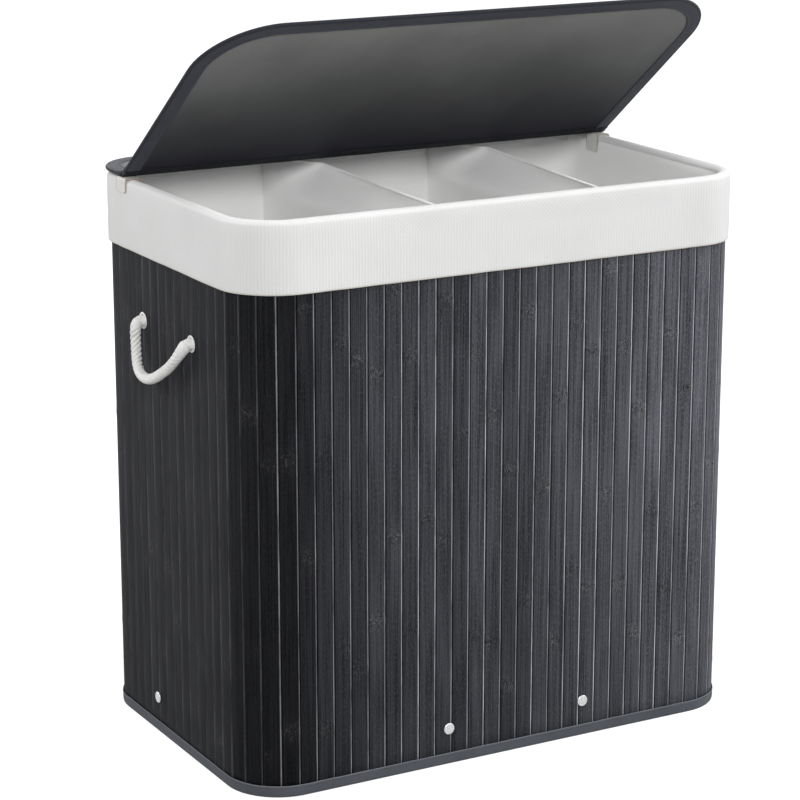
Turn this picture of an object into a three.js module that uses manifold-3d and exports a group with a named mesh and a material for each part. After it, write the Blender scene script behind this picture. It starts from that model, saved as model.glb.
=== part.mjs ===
// Laundry hamper: a wall of upright bamboo slats, a cloth liner with three compartments, a folding lid
// and two rope handles. Millimetres, +Z up. X runs along the front and the front faces -Y. The origin is
// the centre of the base board's underside, on the floor.
import * as THREE from "three";
import { mergeVertices } from "three/addons/utils/BufferGeometryUtils.js";
import Module from "manifold-3d";

const wasm = await Module();
wasm.setup();

// Driving dimensions of the body
const bodyWidth = 600;
const bodyDepth = 378;
const rimHeight = 604;
const cornerRadius = 60;

// Slat mat
const slatPitch = 20;
const slatThickness = 3.2;
const backingThickness = 0.8;
const grooveWidth = 1;
const grooveDepth = 1.4;
const slatEdgeBevel = 0.7;
const matSeamShift = 4;

// Clearances and the overrun of every cut
const fitGap = 0.3;
const tapeGap = 0.5;
const overrun = 5;

// Binding tapes and the wire at the rim
const tapeThickness = 0.5;
const baseBindingHeight = 12.8;
const rimBindingHeight = 14;
const wireDiameter = 3;

// Liner
const clothThickness = 1.2;
const cuffHeight = 74;
const cuffRollRise = 5;
const cuffInnerTurn = 26;
const bagEaseDepth = 110;
const bagEndEase = 31;
const bagFaceEase = 13.5;
const bagCornerRadius = 36;
const partitionFrontPlaces = [-78, 119];
const partitionLeans = [19, 37];
const partitionBackPlaces = [-100, 112];
const partitionBendShare = 0.78;
const partitionThickness = 1.2;
const partitionDrop = 2;

// Base board and its flaps
const baseBoardThickness = 4;
const flapThickness = 2;
const flapHeight = 66;
const flapEndInset = 20;
const flapCornerRadius = 12;

// Press studs
const studHeight = 40;
const studCapDiameter = 13;
const studCapHeight = 2.6;
const studPostDiameter = 5;
const socketDiameter = 12;
const socketThickness = 1.8;
const faceStudShares = [-0.116, 0.163];
const endStudShares = [0.117];

// Rope handles
const ropeDiameter = 12;
const ropeHoleSpacing = 120;
const ropeHoleDrop = 145;
const ropePivotStand = 10;
const knotDiameter = 28;
const knotWrapLength = 7.2;
const knotWraps = 3;
const eyeletBoreGap = 0.35;
const eyeletWall = 1.05;
const eyeletFlangeWidth = 1.6;
const eyeletFlangeThickness = 1.2;

// Lid
const lidSideOverhang = 3;
const lidEndOverhang = 3;
const lidStripDepth = 90;
const lidRaise = THREE.MathUtils.degToRad(37.5);
const lidFrontCornerRadius = 80;
const lidRearCornerRadius = 60;
const lidBoardThickness = 1.6;
const lidClothThickness = 0.35;
const lidTapeThickness = 0.45;
const lidTapeWidth = 17;
const foldBeadDiameter = 2.4;
const foldRise = 0.35;
const foldSetback = 1.6;

// Rim clips
const clipThickness = 1.5;
const clipWidth = 24;
const clipOuterLeg = 14;
const clipInnerLeg = 20;
const clipEndRadius = 4;

// Counts of facets
const cornerSteps = 8;
const rollSteps = 6;
const turnedSteps = 12;
const wireSides = 6;
const ropeSides = 10;
const ropeSteps = 18;
const plateCornerSteps = 7;
const partitionSteps = 10;
const partitionStepCrowding = 1.8;

// The wall's layers, as offsets from the outer face of the slats, outwards positive
const matThickness = slatThickness + backingThickness;
const chordDrop = cornerRadius * (1 - Math.cos(slatPitch / cornerRadius / 2));
const tapeOutside = tapeGap + tapeThickness;
const tapeInside = -(matThickness + chordDrop + fitGap);
const tapeInnerFace = tapeInside - tapeThickness;
const wireCentre = tapeInnerFace - fitGap - wireDiameter / 2;
const cuffInside = tapeOutside + fitGap;
const cuffOutside = cuffInside + clothThickness;
const linerOuterFace = wireCentre - wireDiameter / 2 - fitGap;
const linerInnerFace = linerOuterFace - clothThickness;
const rollHalfWidth = (cuffOutside - linerInnerFace) / 2;
const rollCentre = (cuffOutside + linerInnerFace) / 2;
const rollBase = rimHeight - cuffRollRise;
const boardEdge = tapeInnerFace - fitGap;
const flapInnerFace = boardEdge - flapThickness;
const bagBottomTop = baseBoardThickness + fitGap + clothThickness;
const bagWallFoot = bagBottomTop + fitGap;
const bagWallTop = rollBase - cuffInnerTurn - fitGap;
const bagEaseHeight = rimHeight - bagEaseDepth;
const ropeHoleHeight = rimHeight - ropeHoleDrop;
const lidThickness = 2 * lidTapeThickness + 2 * lidClothThickness + lidBoardThickness + 4 * fitGap;
const clipTop = rimHeight + fitGap + clipThickness;
const lidUnderside = clipTop + fitGap;
const lidFoldPlace = bodyDepth / 2 + lidEndOverhang - lidStripDepth;

const finishes = {
  bamboo: { color: 0x2c2d30, roughness: 0.55, metalness: 0 },
  tape: { color: 0x43444b, roughness: 0.8, metalness: 0 },
  whiteCloth: { color: 0xe9e9e6, roughness: 0.9, metalness: 0 },
  rope: { color: 0xe6e5e0, roughness: 0.9, metalness: 0 },
  eyelet: { color: 0xdedede, roughness: 0.45, metalness: 0 },
  steel: { color: 0xc4c6c8, roughness: 0.3, metalness: 1 },
  board: { color: 0x6d6459, roughness: 0.85, metalness: 0 },
  lidCover: { color: 0x5a5c62, roughness: 0.7, metalness: 0 },
  lidLining: { color: 0x4d514e, roughness: 0.85, metalness: 0 },
  clip: { color: 0xd9d2c0, roughness: 0.5, metalness: 0 },
};

const hamper = new THREE.Group();

function addMesh(parent, name, geometry, finish) {
  const mesh = new THREE.Mesh(geometry, new THREE.MeshStandardMaterial(finishes[finish]));
  mesh.name = name;
  parent.add(mesh);
  return mesh;
}

// Closed mesh to solid and back, for cuts and joins
function toSolid(geometry) {
  const bare = geometry.clone();
  bare.deleteAttribute("normal");
  bare.deleteAttribute("uv");
  const merged = mergeVertices(bare);
  const vertProperties = new Float32Array(merged.attributes.position.array);
  const triVerts = new Uint32Array(merged.index.array);
  return new wasm.Manifold(new wasm.Mesh({ numProp: 3, vertProperties, triVerts }));
}

function toGeometry(solid) {
  const mesh = solid.getMesh();
  const geometry = new THREE.BufferGeometry();
  geometry.setAttribute("position", new THREE.BufferAttribute(mesh.vertProperties, 3));
  geometry.setIndex(new THREE.BufferAttribute(mesh.triVerts, 1));
  geometry.computeVertexNormals();
  return geometry;
}

function cutAll(geometry, cutters) {
  let solid = toSolid(geometry);
  for (const cutter of cutters) solid = solid.subtract(toSolid(cutter));
  return toGeometry(solid);
}

// Points of a rounded rectangle, anticlockwise from +X
function roundedOutline(halfX, halfY, radius) {
  const points = [];
  const corners = [[1, 1], [-1, 1], [-1, -1], [1, -1]];
  corners.forEach(([sideX, sideY], quarter) => {
    for (let step = 0; step <= cornerSteps; step++) {
      const angle = ((quarter + step / cornerSteps) * Math.PI) / 2;
      const x = sideX * (halfX - radius) + radius * Math.cos(angle);
      const y = sideY * (halfY - radius) + radius * Math.sin(angle);
      points.push(new THREE.Vector2(x, y));
    }
  });
  return points;
}

// A closed tube of rounded rectangles: the levels run up the outer face and down the inner one
function hoopLoft(levels) {
  const rings = levels.map(({ halfX, halfY, radius, z }) =>
    roundedOutline(halfX, halfY, radius).map((point) => [point.x, point.y, z]));
  const count = rings[0].length;
  const index = [];
  for (let level = 0; level < rings.length; level++) {
    const next = (level + 1) % rings.length;
    for (let side = 0; side < count; side++) {
      const a = level * count + side;
      const b = level * count + ((side + 1) % count);
      const c = next * count + ((side + 1) % count);
      const d = next * count + side;
      index.push(a, b, c, a, c, d);
    }
  }
  const geometry = new THREE.BufferGeometry();
  geometry.setAttribute("position", new THREE.Float32BufferAttribute(rings.flat(2), 3));
  geometry.setIndex(index);
  geometry.computeVertexNormals();
  return geometry;
}

// A profile of [offset from the slats' outer face, height] carried round the wall
function wallHoop(profile) {
  return hoopLoft(profile.map(([offset, z]) => ({
    halfX: bodyWidth / 2 + offset,
    halfY: bodyDepth / 2 + offset,
    radius: cornerRadius + offset,
    z,
  })));
}

// Flat plates: extruded upwards or facing the front
function flatPlate(shape, thickness) {
  return new THREE.ExtrudeGeometry(shape, { depth: thickness, bevelEnabled: false, curveSegments: plateCornerSteps });
}

function frontPlate(shape, thickness) {
  return flatPlate(shape, thickness).rotateX(Math.PI / 2);
}

// A turned piece whose profile is [radius, distance outwards], facing -Y
function turnedOutwards(profile) {
  const points = profile.map(([radius, out]) => new THREE.Vector2(radius, out));
  return new THREE.LatheGeometry(points, turnedSteps).rotateZ(Math.PI);
}

// The four sides of the wall, each a group in which the slats' outer face is the plane y = 0 and -y is out
const sides = {
  front: { turn: 0, reach: bodyDepth / 2, run: bodyWidth, studShares: faceStudShares },
  right: { turn: Math.PI / 2, reach: bodyWidth / 2, run: bodyDepth, studShares: endStudShares },
  back: { turn: Math.PI, reach: bodyDepth / 2, run: bodyWidth, studShares: faceStudShares.map((share) => -share) },
  left: { turn: -Math.PI / 2, reach: bodyWidth / 2, run: bodyDepth, studShares: endStudShares.map((share) => -share) },
};
for (const side of Object.values(sides)) {
  side.group = new THREE.Group();
  side.group.rotation.z = side.turn;
  side.group.position.set(0, -side.reach, 0).applyAxisAngle(new THREE.Vector3(0, 0, 1), side.turn);
  side.group.updateMatrix();
  hamper.add(side.group);
}

function holeThrough(radius, along, height) {
  const length = 2 * (overrun - flapInnerFace);
  return new THREE.CylinderGeometry(radius, radius, length, turnedSteps).translate(along, 0, height);
}

// The outer line of the wall, starting at the middle of the back
function wallPath() {
  const x = bodyWidth / 2 - cornerRadius;
  const y = bodyDepth / 2 - cornerRadius;
  const path = new THREE.Path();
  path.moveTo(0, bodyDepth / 2);
  path.lineTo(-x, bodyDepth / 2);
  path.absarc(-x, y, cornerRadius, Math.PI / 2, Math.PI);
  path.lineTo(-bodyWidth / 2, -y);
  path.absarc(-x, -y, cornerRadius, Math.PI, 1.5 * Math.PI);
  path.lineTo(x, -bodyDepth / 2);
  path.absarc(x, -y, cornerRadius, 1.5 * Math.PI, 2 * Math.PI);
  path.lineTo(bodyWidth / 2, y);
  path.absarc(x, y, cornerRadius, 0, Math.PI / 2);
  path.lineTo(0, bodyDepth / 2);
  return path;
}

// The mat: flat slats with bevelled edges, side by side on one backing cloth, so that the corners are
// faceted slat by slat. The pitch is adapted to the length of the wall.
function slatMat() {
  const path = wallPath();
  const length = path.getLength();
  const count = Math.round(length / slatPitch);
  const pitch = length / count;
  const place = (distance, offset) => {
    const share = ((distance + length) % length) / length;
    const point = path.getPoint(share);
    const along = path.getTangent(Math.min(share, 1));
    return new THREE.Vector2(point.x + along.y * offset, point.y - along.x * offset);
  };
  const outline = [];
  const inside = [];
  for (let slat = 0; slat < count; slat++) {
    const start = matSeamShift + slat * pitch;
    const left = start + grooveWidth / 2;
    const right = start + pitch - grooveWidth / 2;
    outline.push(place(start, -grooveDepth));
    outline.push(place(left, -slatEdgeBevel));
    outline.push(place(left + slatEdgeBevel, 0));
    outline.push(place(right - slatEdgeBevel, 0));
    outline.push(place(right, -slatEdgeBevel));
    inside.push(place(start, -matThickness));
  }
  const shape = new THREE.Shape(outline);
  shape.holes.push(new THREE.Path(inside));
  const bottom = tapeThickness + fitGap;
  const top = rollBase - tapeThickness - fitGap;
  const wall = flatPlate(shape, top - bottom).translate(0, 0, bottom);
  const cutters = [];
  for (const side of Object.values(sides)) {
    for (const share of side.studShares) {
      const hole = holeThrough(studPostDiameter / 2 + fitGap, share * side.run, studHeight);
      cutters.push(hole.applyMatrix4(side.group.matrix));
    }
  }
  for (const side of [sides.left, sides.right]) {
    for (const end of [-1, 1]) {
      const radius = ropeDiameter / 2 + eyeletBoreGap + eyeletWall + fitGap;
      const hole = holeThrough(radius, (end * ropeHoleSpacing) / 2, ropeHoleHeight);
      cutters.push(hole.applyMatrix4(side.group.matrix));
    }
  }
  console.log(`slat mat: ${count} slats at ${pitch.toFixed(2)} mm`);
  return cutAll(wall, cutters);
}

// Tape folded round the lower edge of the mat
function baseBinding() {
  return wallHoop([
    [tapeOutside, 0],
    [tapeOutside, baseBindingHeight],
    [tapeGap, baseBindingHeight],
    [tapeGap, tapeThickness],
    [tapeInside, tapeThickness],
    [tapeInside, baseBindingHeight],
    [tapeInnerFace, baseBindingHeight],
    [tapeInnerFace, 0],
  ]);
}

// Tape folded over the upper edge of the mat, under the cuff
function rimBinding() {
  const foot = rollBase - rimBindingHeight;
  return wallHoop([
    [tapeOutside, foot],
    [tapeOutside, rollBase],
    [tapeInnerFace, rollBase],
    [tapeInnerFace, foot],
    [tapeInside, foot],
    [tapeInside, rollBase - tapeThickness],
    [tapeGap, rollBase - tapeThickness],
    [tapeGap, foot],
  ]);
}

// Wire hoop behind the rim binding, which keeps the long sides straight
function rimWire() {
  const radius = wireDiameter / 2;
  const height = rollBase - radius - fitGap;
  const profile = [];
  for (let side = 0; side < wireSides; side++) {
    const angle = (2 * Math.PI * side) / wireSides;
    profile.push([wireCentre + radius * Math.cos(angle), height + radius * Math.sin(angle)]);
  }
  return wallHoop(profile);
}

// The liner's cuff: up the outside, over the rim in a soft roll, and down behind the wire
function linerCuff() {
  const foot = rimHeight - cuffHeight;
  const turnFoot = rollBase - cuffInnerTurn;
  const profile = [[cuffOutside, foot]];
  for (let step = 0; step <= rollSteps; step++) {
    const angle = (Math.PI * step) / rollSteps;
    profile.push([rollCentre + rollHalfWidth * Math.cos(angle), rollBase + cuffRollRise * Math.sin(angle)]);
  }
  profile.push([linerInnerFace, turnFoot], [linerOuterFace, turnFoot]);
  for (let step = rollSteps; step >= 0; step--) {
    const angle = (Math.PI * step) / rollSteps;
    const width = rollHalfWidth - clothThickness;
    const rise = cuffRollRise - clothThickness;
    profile.push([rollCentre + width * Math.cos(angle), rollBase + rise * Math.sin(angle)]);
  }
  profile.push([cuffInside, foot]);
  return wallHoop(profile);
}

// The bag hangs from the cuff. Its ends draw in to leave room for the knots of the handles.
function bagLevel(inwards, eased, z) {
  const end = eased ? bagEndEase - clothThickness : -linerOuterFace;
  const face = eased ? bagFaceEase - clothThickness : -linerOuterFace;
  const radius = eased ? bagCornerRadius : cornerRadius + linerOuterFace;
  return {
    halfX: bodyWidth / 2 - end - inwards,
    halfY: bodyDepth / 2 - face - inwards,
    radius: radius - inwards,
    z,
  };
}

function linerWall() {
  return hoopLoft([
    bagLevel(0, true, bagWallFoot),
    bagLevel(0, true, bagEaseHeight),
    bagLevel(0, false, bagWallTop),
    bagLevel(clothThickness, false, bagWallTop),
    bagLevel(clothThickness, true, bagEaseHeight),
    bagLevel(clothThickness, true, bagWallFoot),
  ]);
}

function linerBottom() {
  const { halfX, halfY, radius } = bagLevel(0, true, 0);
  const shape = new THREE.Shape(roundedOutline(halfX, halfY, radius));
  return flatPlate(shape, clothThickness).translate(0, 0, baseBoardThickness + fitGap);
}

// Where a partition hangs at a share of the depth from the front: straight but askew, then bent back to its seam
function partitionX(side, share) {
  const straight = partitionFrontPlaces[side] + partitionLeans[side] * share;
  const bent = THREE.MathUtils.smoothstep(share, partitionBendShare, 1);
  return straight + (partitionBackPlaces[side] - straight) * bent;
}

// A partition follows the bag's front and back walls up to the rim, built as rings from front to back
function linerPartition(side) {
  const eased = bagLevel(clothThickness, true, 0).halfY - fitGap;
  const mouth = bagLevel(clothThickness, false, 0).halfY - fitGap;
  const levels = [
    [eased, bagWallFoot],
    [eased, bagEaseHeight],
    [mouth, bagWallTop],
    [mouth, rimHeight - partitionDrop],
  ];
  const count = 2 * levels.length;
  const lastRing = partitionSteps * count;
  const points = [];
  const index = [];
  for (let step = 0; step <= partitionSteps; step++) {
    const share = 1 - (1 - step / partitionSteps) ** partitionStepCrowding;
    const x = partitionX(side, share);
    const edge = levels.map(([reach, z]) => [(2 * share - 1) * reach, z]);
    for (const [y, z] of edge) points.push(x + partitionThickness / 2, y, z);
    for (const [y, z] of edge.reverse()) points.push(x - partitionThickness / 2, y, z);
  }
  for (let a = 0; a < lastRing; a++) {
    const b = (a + 1) % count === 0 ? a + 1 - count : a + 1;
    index.push(a, b + count, b, a, a + count, b + count);
  }
  for (let a = 0; a < levels.length - 1; a++) {
    const [b, c, d] = [a + 1, count - a - 2, count - a - 1];
    index.push(a, b, c, a, c, d);
    index.push(lastRing + a, lastRing + c, lastRing + b, lastRing + a, lastRing + d, lastRing + c);
  }
  const geometry = new THREE.BufferGeometry();
  geometry.setAttribute("position", new THREE.Float32BufferAttribute(points, 3));
  geometry.setIndex(index);
  geometry.computeVertexNormals();
  return geometry;
}

function baseBoard() {
  const outline = roundedOutline(bodyWidth / 2 + boardEdge, bodyDepth / 2 + boardEdge, cornerRadius + boardEdge);
  return flatPlate(new THREE.Shape(outline), baseBoardThickness);
}

// A flap stands up from the base board inside the mat, with a hole for each stud
function baseFlap(side) {
  const half = side.run / 2 - cornerRadius - flapEndInset;
  const foot = baseBoardThickness + fitGap;
  const top = foot + flapHeight;
  const shape = new THREE.Shape();
  shape.moveTo(-half, foot);
  shape.lineTo(half, foot);
  shape.lineTo(half, top - flapCornerRadius);
  shape.absarc(half - flapCornerRadius, top - flapCornerRadius, flapCornerRadius, 0, Math.PI / 2);
  shape.lineTo(flapCornerRadius - half, top);
  shape.absarc(flapCornerRadius - half, top - flapCornerRadius, flapCornerRadius, Math.PI / 2, Math.PI);
  const plate = frontPlate(shape, flapThickness).translate(0, -flapInnerFace, 0);
  const radius = studPostDiameter / 2 + fitGap;
  return cutAll(plate, side.studShares.map((share) => holeThrough(radius, share * side.run, studHeight)));
}

// Domed cap with its post, and the socket that grips the post inside the flap
function pressStud() {
  const post = studPostDiameter / 2;
  const cap = studCapDiameter / 2;
  const profile = [[0, flapInnerFace - socketThickness], [post, flapInnerFace - socketThickness], [post, fitGap]];
  const domeSteps = 4;
  for (let step = 0; step <= domeSteps; step++) {
    const angle = (Math.PI / 2) * (step / domeSteps);
    profile.push([cap * Math.cos(angle), fitGap + studCapHeight * Math.sin(angle)]);
  }
  return turnedOutwards(profile);
}

function studSocket() {
  const bore = studPostDiameter / 2 + fitGap;
  const rim = socketDiameter / 2;
  const outer = flapInnerFace - fitGap;
  const inner = outer - socketThickness;
  return turnedOutwards([[bore, inner], [rim, inner], [rim, outer], [bore, outer], [bore, inner]]);
}

// White eyelet that lines the rope's hole, with a flange on each face of the mat
function ropeEyelet() {
  const bore = ropeDiameter / 2 + eyeletBoreGap;
  const barrel = bore + eyeletWall;
  const flange = barrel + eyeletFlangeWidth;
  const inner = -matThickness - fitGap;
  const outer = fitGap + eyeletFlangeThickness;
  return turnedOutwards([
    [bore, inner - eyeletFlangeThickness],
    [flange, inner - eyeletFlangeThickness],
    [flange, inner],
    [barrel, inner],
    [barrel, fitGap],
    [flange, fitGap],
    [flange, outer - eyeletFlangeThickness / 2],
    [flange - eyeletFlangeThickness / 2, outer],
    [bore, outer],
    [bore, inner - eyeletFlangeThickness],
  ]);
}

// The rope's end: a stopper knot of three wraps inside the wall, and the rope out to where the loop turns
function ropeEnd() {
  const radius = ropeDiameter / 2;
  const knotOuter = -matThickness - eyeletFlangeThickness - 2 * fitGap;
  const knotInner = knotOuter - knotWraps * knotWrapLength;
  const wrapRadius = knotWrapLength / 2;
  const wrapSteps = 3;
  const profile = [[0, knotInner]];
  for (let wrap = 0; wrap < knotWraps; wrap++) {
    const middle = knotInner + (wrap + 0.5) * knotWrapLength;
    for (let step = wrap ? 1 : 0; step <= wrapSteps; step++) {
      const angle = Math.PI * (step / wrapSteps - 0.5);
      const reach = knotDiameter / 2 - wrapRadius + wrapRadius * Math.cos(angle);
      profile.push([reach, middle + wrapRadius * Math.sin(angle)]);
    }
  }
  profile.push([radius, knotOuter]);
  const tipSteps = 3;
  for (let step = 0; step <= tipSteps; step++) {
    const angle = (Math.PI / 2) * (step / tipSteps);
    profile.push([radius * Math.cos(angle), ropePivotStand + radius * Math.sin(angle)]);
  }
  return turnedOutwards(profile);
}

// The hanging loop's centre line from the rear hole to the front one: along the wall towards the rear,
// out from the wall, and down from the holes. The stiff rope hangs steeply at the rear and rises in a
// long slant to the front.
const ropeLoopPoints = [
  [60, 10, 6.6],
  [59.2, 10.2, 14],
  [57.2, 10.8, 24],
  [53.5, 12, 34],
  [47, 14, 43],
  [36.5, 16, 49.2],
  [22.5, 17.3, 51.6],
  [7.5, 18, 50],
  [-8.5, 18, 44.5],
  [-24, 17.3, 36.5],
  [-38, 15.6, 27.5],
  [-49.5, 13.3, 19],
  [-57.2, 11.1, 12.5],
  [-59.9, 10.1, 7.2],
];

function ropeLoop(rearwards) {
  const points = ropeLoopPoints.map(([along, out, drop]) =>
    new THREE.Vector3(along * rearwards, -out, ropeHoleHeight - drop));
  const path = new THREE.CatmullRomCurve3(points);
  const section = new THREE.Shape();
  for (let side = 0; side < ropeSides; side++) {
    const angle = (2 * Math.PI * side) / ropeSides;
    const x = (ropeDiameter / 2) * Math.cos(angle);
    const y = (ropeDiameter / 2) * Math.sin(angle);
    if (side) section.lineTo(x, y);
    else section.moveTo(x, y);
  }
  console.log(`rope loop: ${path.getLength().toFixed(1)} mm between its turning points`);
  return new THREE.ExtrudeGeometry(section, { steps: ropeSteps, extrudePath: path });
}

// Outline of a lid panel: from the fold at y = start out to y = length, its two far corners rounded
function panelShape(halfWidth, start, length, radius) {
  const shape = new THREE.Shape();
  shape.moveTo(-halfWidth, start);
  shape.lineTo(halfWidth, start);
  shape.lineTo(halfWidth, length - radius);
  shape.absarc(halfWidth - radius, length - radius, radius, 0, Math.PI / 2);
  shape.lineTo(radius - halfWidth, length);
  shape.absarc(radius - halfWidth, length - radius, radius, Math.PI / 2, Math.PI);
  return shape;
}

// Binding tape of U section round the three free edges of a panel
function panelBinding(halfWidth, length, radius) {
  const inset = (amount) => panelShape(halfWidth - amount, foldSetback - overrun, length - amount, radius - amount);
  const slab = flatPlate(panelShape(halfWidth, foldSetback, length, radius), lidThickness);
  const hollow = flatPlate(inset(lidTapeThickness), lidThickness - 2 * lidTapeThickness);
  const window = flatPlate(inset(lidTapeWidth), lidThickness + 2 * overrun);
  return cutAll(slab, [hollow.translate(0, 0, lidTapeThickness), window.translate(0, 0, -overrun)]);
}

// One panel of the lid: lining, board and cover between the lips of the binding
function lidPanel(parent, name, length, radius) {
  const halfWidth = bodyWidth / 2 + lidSideOverhang;
  const inset = lidTapeThickness + fitGap;
  const layer = (thickness, z) =>
    flatPlate(panelShape(halfWidth - inset, foldSetback, length - inset, radius - inset), thickness).translate(0, 0, z);
  const liningFoot = inset;
  const boardFoot = liningFoot + lidClothThickness + fitGap;
  const coverFoot = boardFoot + lidBoardThickness + fitGap;
  addMesh(parent, `${name}_lining`, layer(lidClothThickness, liningFoot), "lidLining");
  addMesh(parent, `${name}_board`, layer(lidBoardThickness, boardFoot), "board");
  addMesh(parent, `${name}_cover`, layer(lidClothThickness, coverFoot), "lidCover");
  addMesh(parent, `${name}_binding`, panelBinding(halfWidth, length, radius), "tape");
}

// Ridge of cloth along the fold that joins the two panels
function foldBead() {
  const length = bodyWidth + 2 * lidSideOverhang;
  const radius = foldBeadDiameter / 2;
  return new THREE.CylinderGeometry(radius, radius, length, turnedSteps).rotateZ(Math.PI / 2);
}

// A band bent over the rim: two legs with rounded ends under a flat top, facing -Y
function clipLeg(face, reach) {
  const shape = new THREE.Shape();
  const half = clipWidth / 2;
  shape.moveTo(half, clipTop);
  shape.lineTo(-half, clipTop);
  shape.lineTo(-half, reach + clipEndRadius);
  shape.absarc(clipEndRadius - half, reach + clipEndRadius, clipEndRadius, Math.PI, 1.5 * Math.PI);
  shape.absarc(half - clipEndRadius, reach + clipEndRadius, clipEndRadius, 1.5 * Math.PI, 2 * Math.PI);
  return frontPlate(shape, clipThickness).translate(0, -face, 0);
}

function rimClip() {
  const outerFace = cuffOutside + fitGap;
  const innerFace = linerInnerFace - fitGap - clipThickness;
  const top = new THREE.BoxGeometry(clipWidth, outerFace - innerFace + clipThickness, clipThickness);
  top.translate(0, -(outerFace + clipThickness + innerFace) / 2, clipTop - clipThickness / 2);
  const outer = toSolid(clipLeg(outerFace, rimHeight - clipOuterLeg));
  const inner = toSolid(clipLeg(innerFace, rimHeight - clipInnerLeg));
  return toGeometry(toSolid(top).add(outer).add(inner));
}

function addBody() {
  addMesh(hamper, "slat_mat", slatMat(), "bamboo");
  addMesh(hamper, "base_binding", baseBinding(), "tape");
  addMesh(hamper, "rim_binding", rimBinding(), "tape");
  addMesh(hamper, "rim_wire", rimWire(), "steel");
  addMesh(hamper, "base_board", baseBoard(), "board");
}

function addLiner() {
  addMesh(hamper, "liner_cuff", linerCuff(), "whiteCloth");
  addMesh(hamper, "liner_wall", linerWall(), "whiteCloth");
  addMesh(hamper, "liner_bottom", linerBottom(), "whiteCloth");
  ["left", "right"].forEach((name, side) =>
    addMesh(hamper, `liner_partition_${name}`, linerPartition(side), "whiteCloth"));
}

function addFlapsAndStuds() {
  for (const [name, side] of Object.entries(sides)) {
    addMesh(side.group, `base_flap_${name}`, baseFlap(side), "board");
    side.studShares.forEach((share, number) => {
      const label = side.studShares.length > 1 ? `${name}_${number + 1}` : name;
      const stud = addMesh(side.group, `press_stud_${label}`, pressStud(), "steel");
      const socket = addMesh(side.group, `stud_socket_${label}`, studSocket(), "steel");
      stud.position.set(share * side.run, 0, studHeight);
      socket.position.copy(stud.position);
    });
  }
}

function addHandles() {
  for (const name of ["left", "right"]) {
    const group = sides[name].group;
    const rearwards = name === "left" ? -1 : 1;
    addMesh(group, `rope_handle_${name}`, ropeLoop(rearwards), "rope");
    for (const end of [-1, 1]) {
      const label = `${name}_${end === rearwards ? "rear" : "front"}`;
      const rope = addMesh(group, `rope_end_${label}`, ropeEnd(), "rope");
      const eyelet = addMesh(group, `rope_eyelet_${label}`, ropeEyelet(), "eyelet");
      rope.position.set((end * ropeHoleSpacing) / 2, 0, ropeHoleHeight);
      eyelet.position.copy(rope.position);
    }
  }
}

function addLid() {
  const rear = new THREE.Group();
  rear.position.set(0, lidFoldPlace, lidUnderside);
  lidPanel(rear, "lid_rear", lidStripDepth, lidRearCornerRadius);
  const bead = addMesh(rear, "lid_fold", foldBead(), "tape");
  bead.position.z = lidThickness + foldRise;

  const front = new THREE.Group();
  front.position.set(0, lidFoldPlace, lidUnderside + lidThickness + foldRise);
  front.rotation.x = -lidRaise;
  const panel = new THREE.Group();
  panel.position.z = -lidThickness - foldRise;
  panel.rotation.z = Math.PI;
  lidPanel(panel, "lid_front", bodyDepth / 2 + lidEndOverhang + lidFoldPlace, lidFrontCornerRadius);
  front.add(panel);
  hamper.add(rear, front);
}

function addClips() {
  for (const name of ["left", "right"]) {
    const clip = addMesh(sides[name].group, `rim_clip_${name}`, rimClip(), "clip");
    clip.position.x = name === "left" ? -lidFoldPlace : lidFoldPlace;
  }
}

addBody();
addLiner();
addFlapsAndStuds();
addHandles();
addLid();
addClips();

export default hamper;
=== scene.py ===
# %% [markdown]
# Laundry hamper with three compartments.
# A wall of dyed bamboo slats stands on a folded tape, a white cotton liner hangs inside it and turns over
# the rim, and a cloth-covered lid folds up on a strip that stays on the rim. Every piece is modelled in
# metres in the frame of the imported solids, so a piece lies where its solid lies and nothing needs fitting.

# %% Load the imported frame
import math

import bpy
import numpy as np
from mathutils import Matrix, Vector


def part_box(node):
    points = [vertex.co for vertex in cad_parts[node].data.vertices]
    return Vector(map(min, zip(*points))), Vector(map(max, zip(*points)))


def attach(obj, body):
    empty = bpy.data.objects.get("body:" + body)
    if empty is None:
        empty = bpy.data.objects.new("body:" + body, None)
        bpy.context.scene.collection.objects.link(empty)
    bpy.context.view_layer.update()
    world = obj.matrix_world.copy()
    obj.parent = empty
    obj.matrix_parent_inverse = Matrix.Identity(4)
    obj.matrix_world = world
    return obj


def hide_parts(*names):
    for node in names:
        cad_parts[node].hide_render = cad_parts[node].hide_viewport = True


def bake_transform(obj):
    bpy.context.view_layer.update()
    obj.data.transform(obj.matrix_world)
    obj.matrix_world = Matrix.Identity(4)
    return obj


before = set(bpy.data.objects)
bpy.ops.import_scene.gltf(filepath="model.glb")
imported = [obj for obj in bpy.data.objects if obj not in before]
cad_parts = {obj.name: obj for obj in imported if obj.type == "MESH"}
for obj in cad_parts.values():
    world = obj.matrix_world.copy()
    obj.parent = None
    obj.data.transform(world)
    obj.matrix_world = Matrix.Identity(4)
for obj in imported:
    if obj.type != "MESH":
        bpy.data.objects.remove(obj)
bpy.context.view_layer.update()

# %% [markdown]
# The camera comes first, because every choice after it is judged in its picture. The photograph looks down
# on the front left corner from some three metres with a long lens. Position, turn and focal length were
# worked out from edges that the picture and the solids share: the base tape, the rim, the slat joints and
# the lid.

# %% Camera
CAMERA_PLACE = (-1.4155, -2.4993, 1.1151)
CAMERA_TILT, CAMERA_TURN = 14.975, -29.117
camera_data = bpy.data.cameras.new("camera")
camera_data.lens = 121.545
camera_data.sensor_width = 36
camera = bpy.data.objects.new("camera", camera_data)
camera.location = CAMERA_PLACE
camera.rotation_euler = (math.radians(90 - CAMERA_TILT), 0, math.radians(CAMERA_TURN))
bpy.context.scene.collection.objects.link(camera)
bpy.context.scene.camera = camera
print("camera distance", round(camera.location.length, 3), "m")

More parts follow.
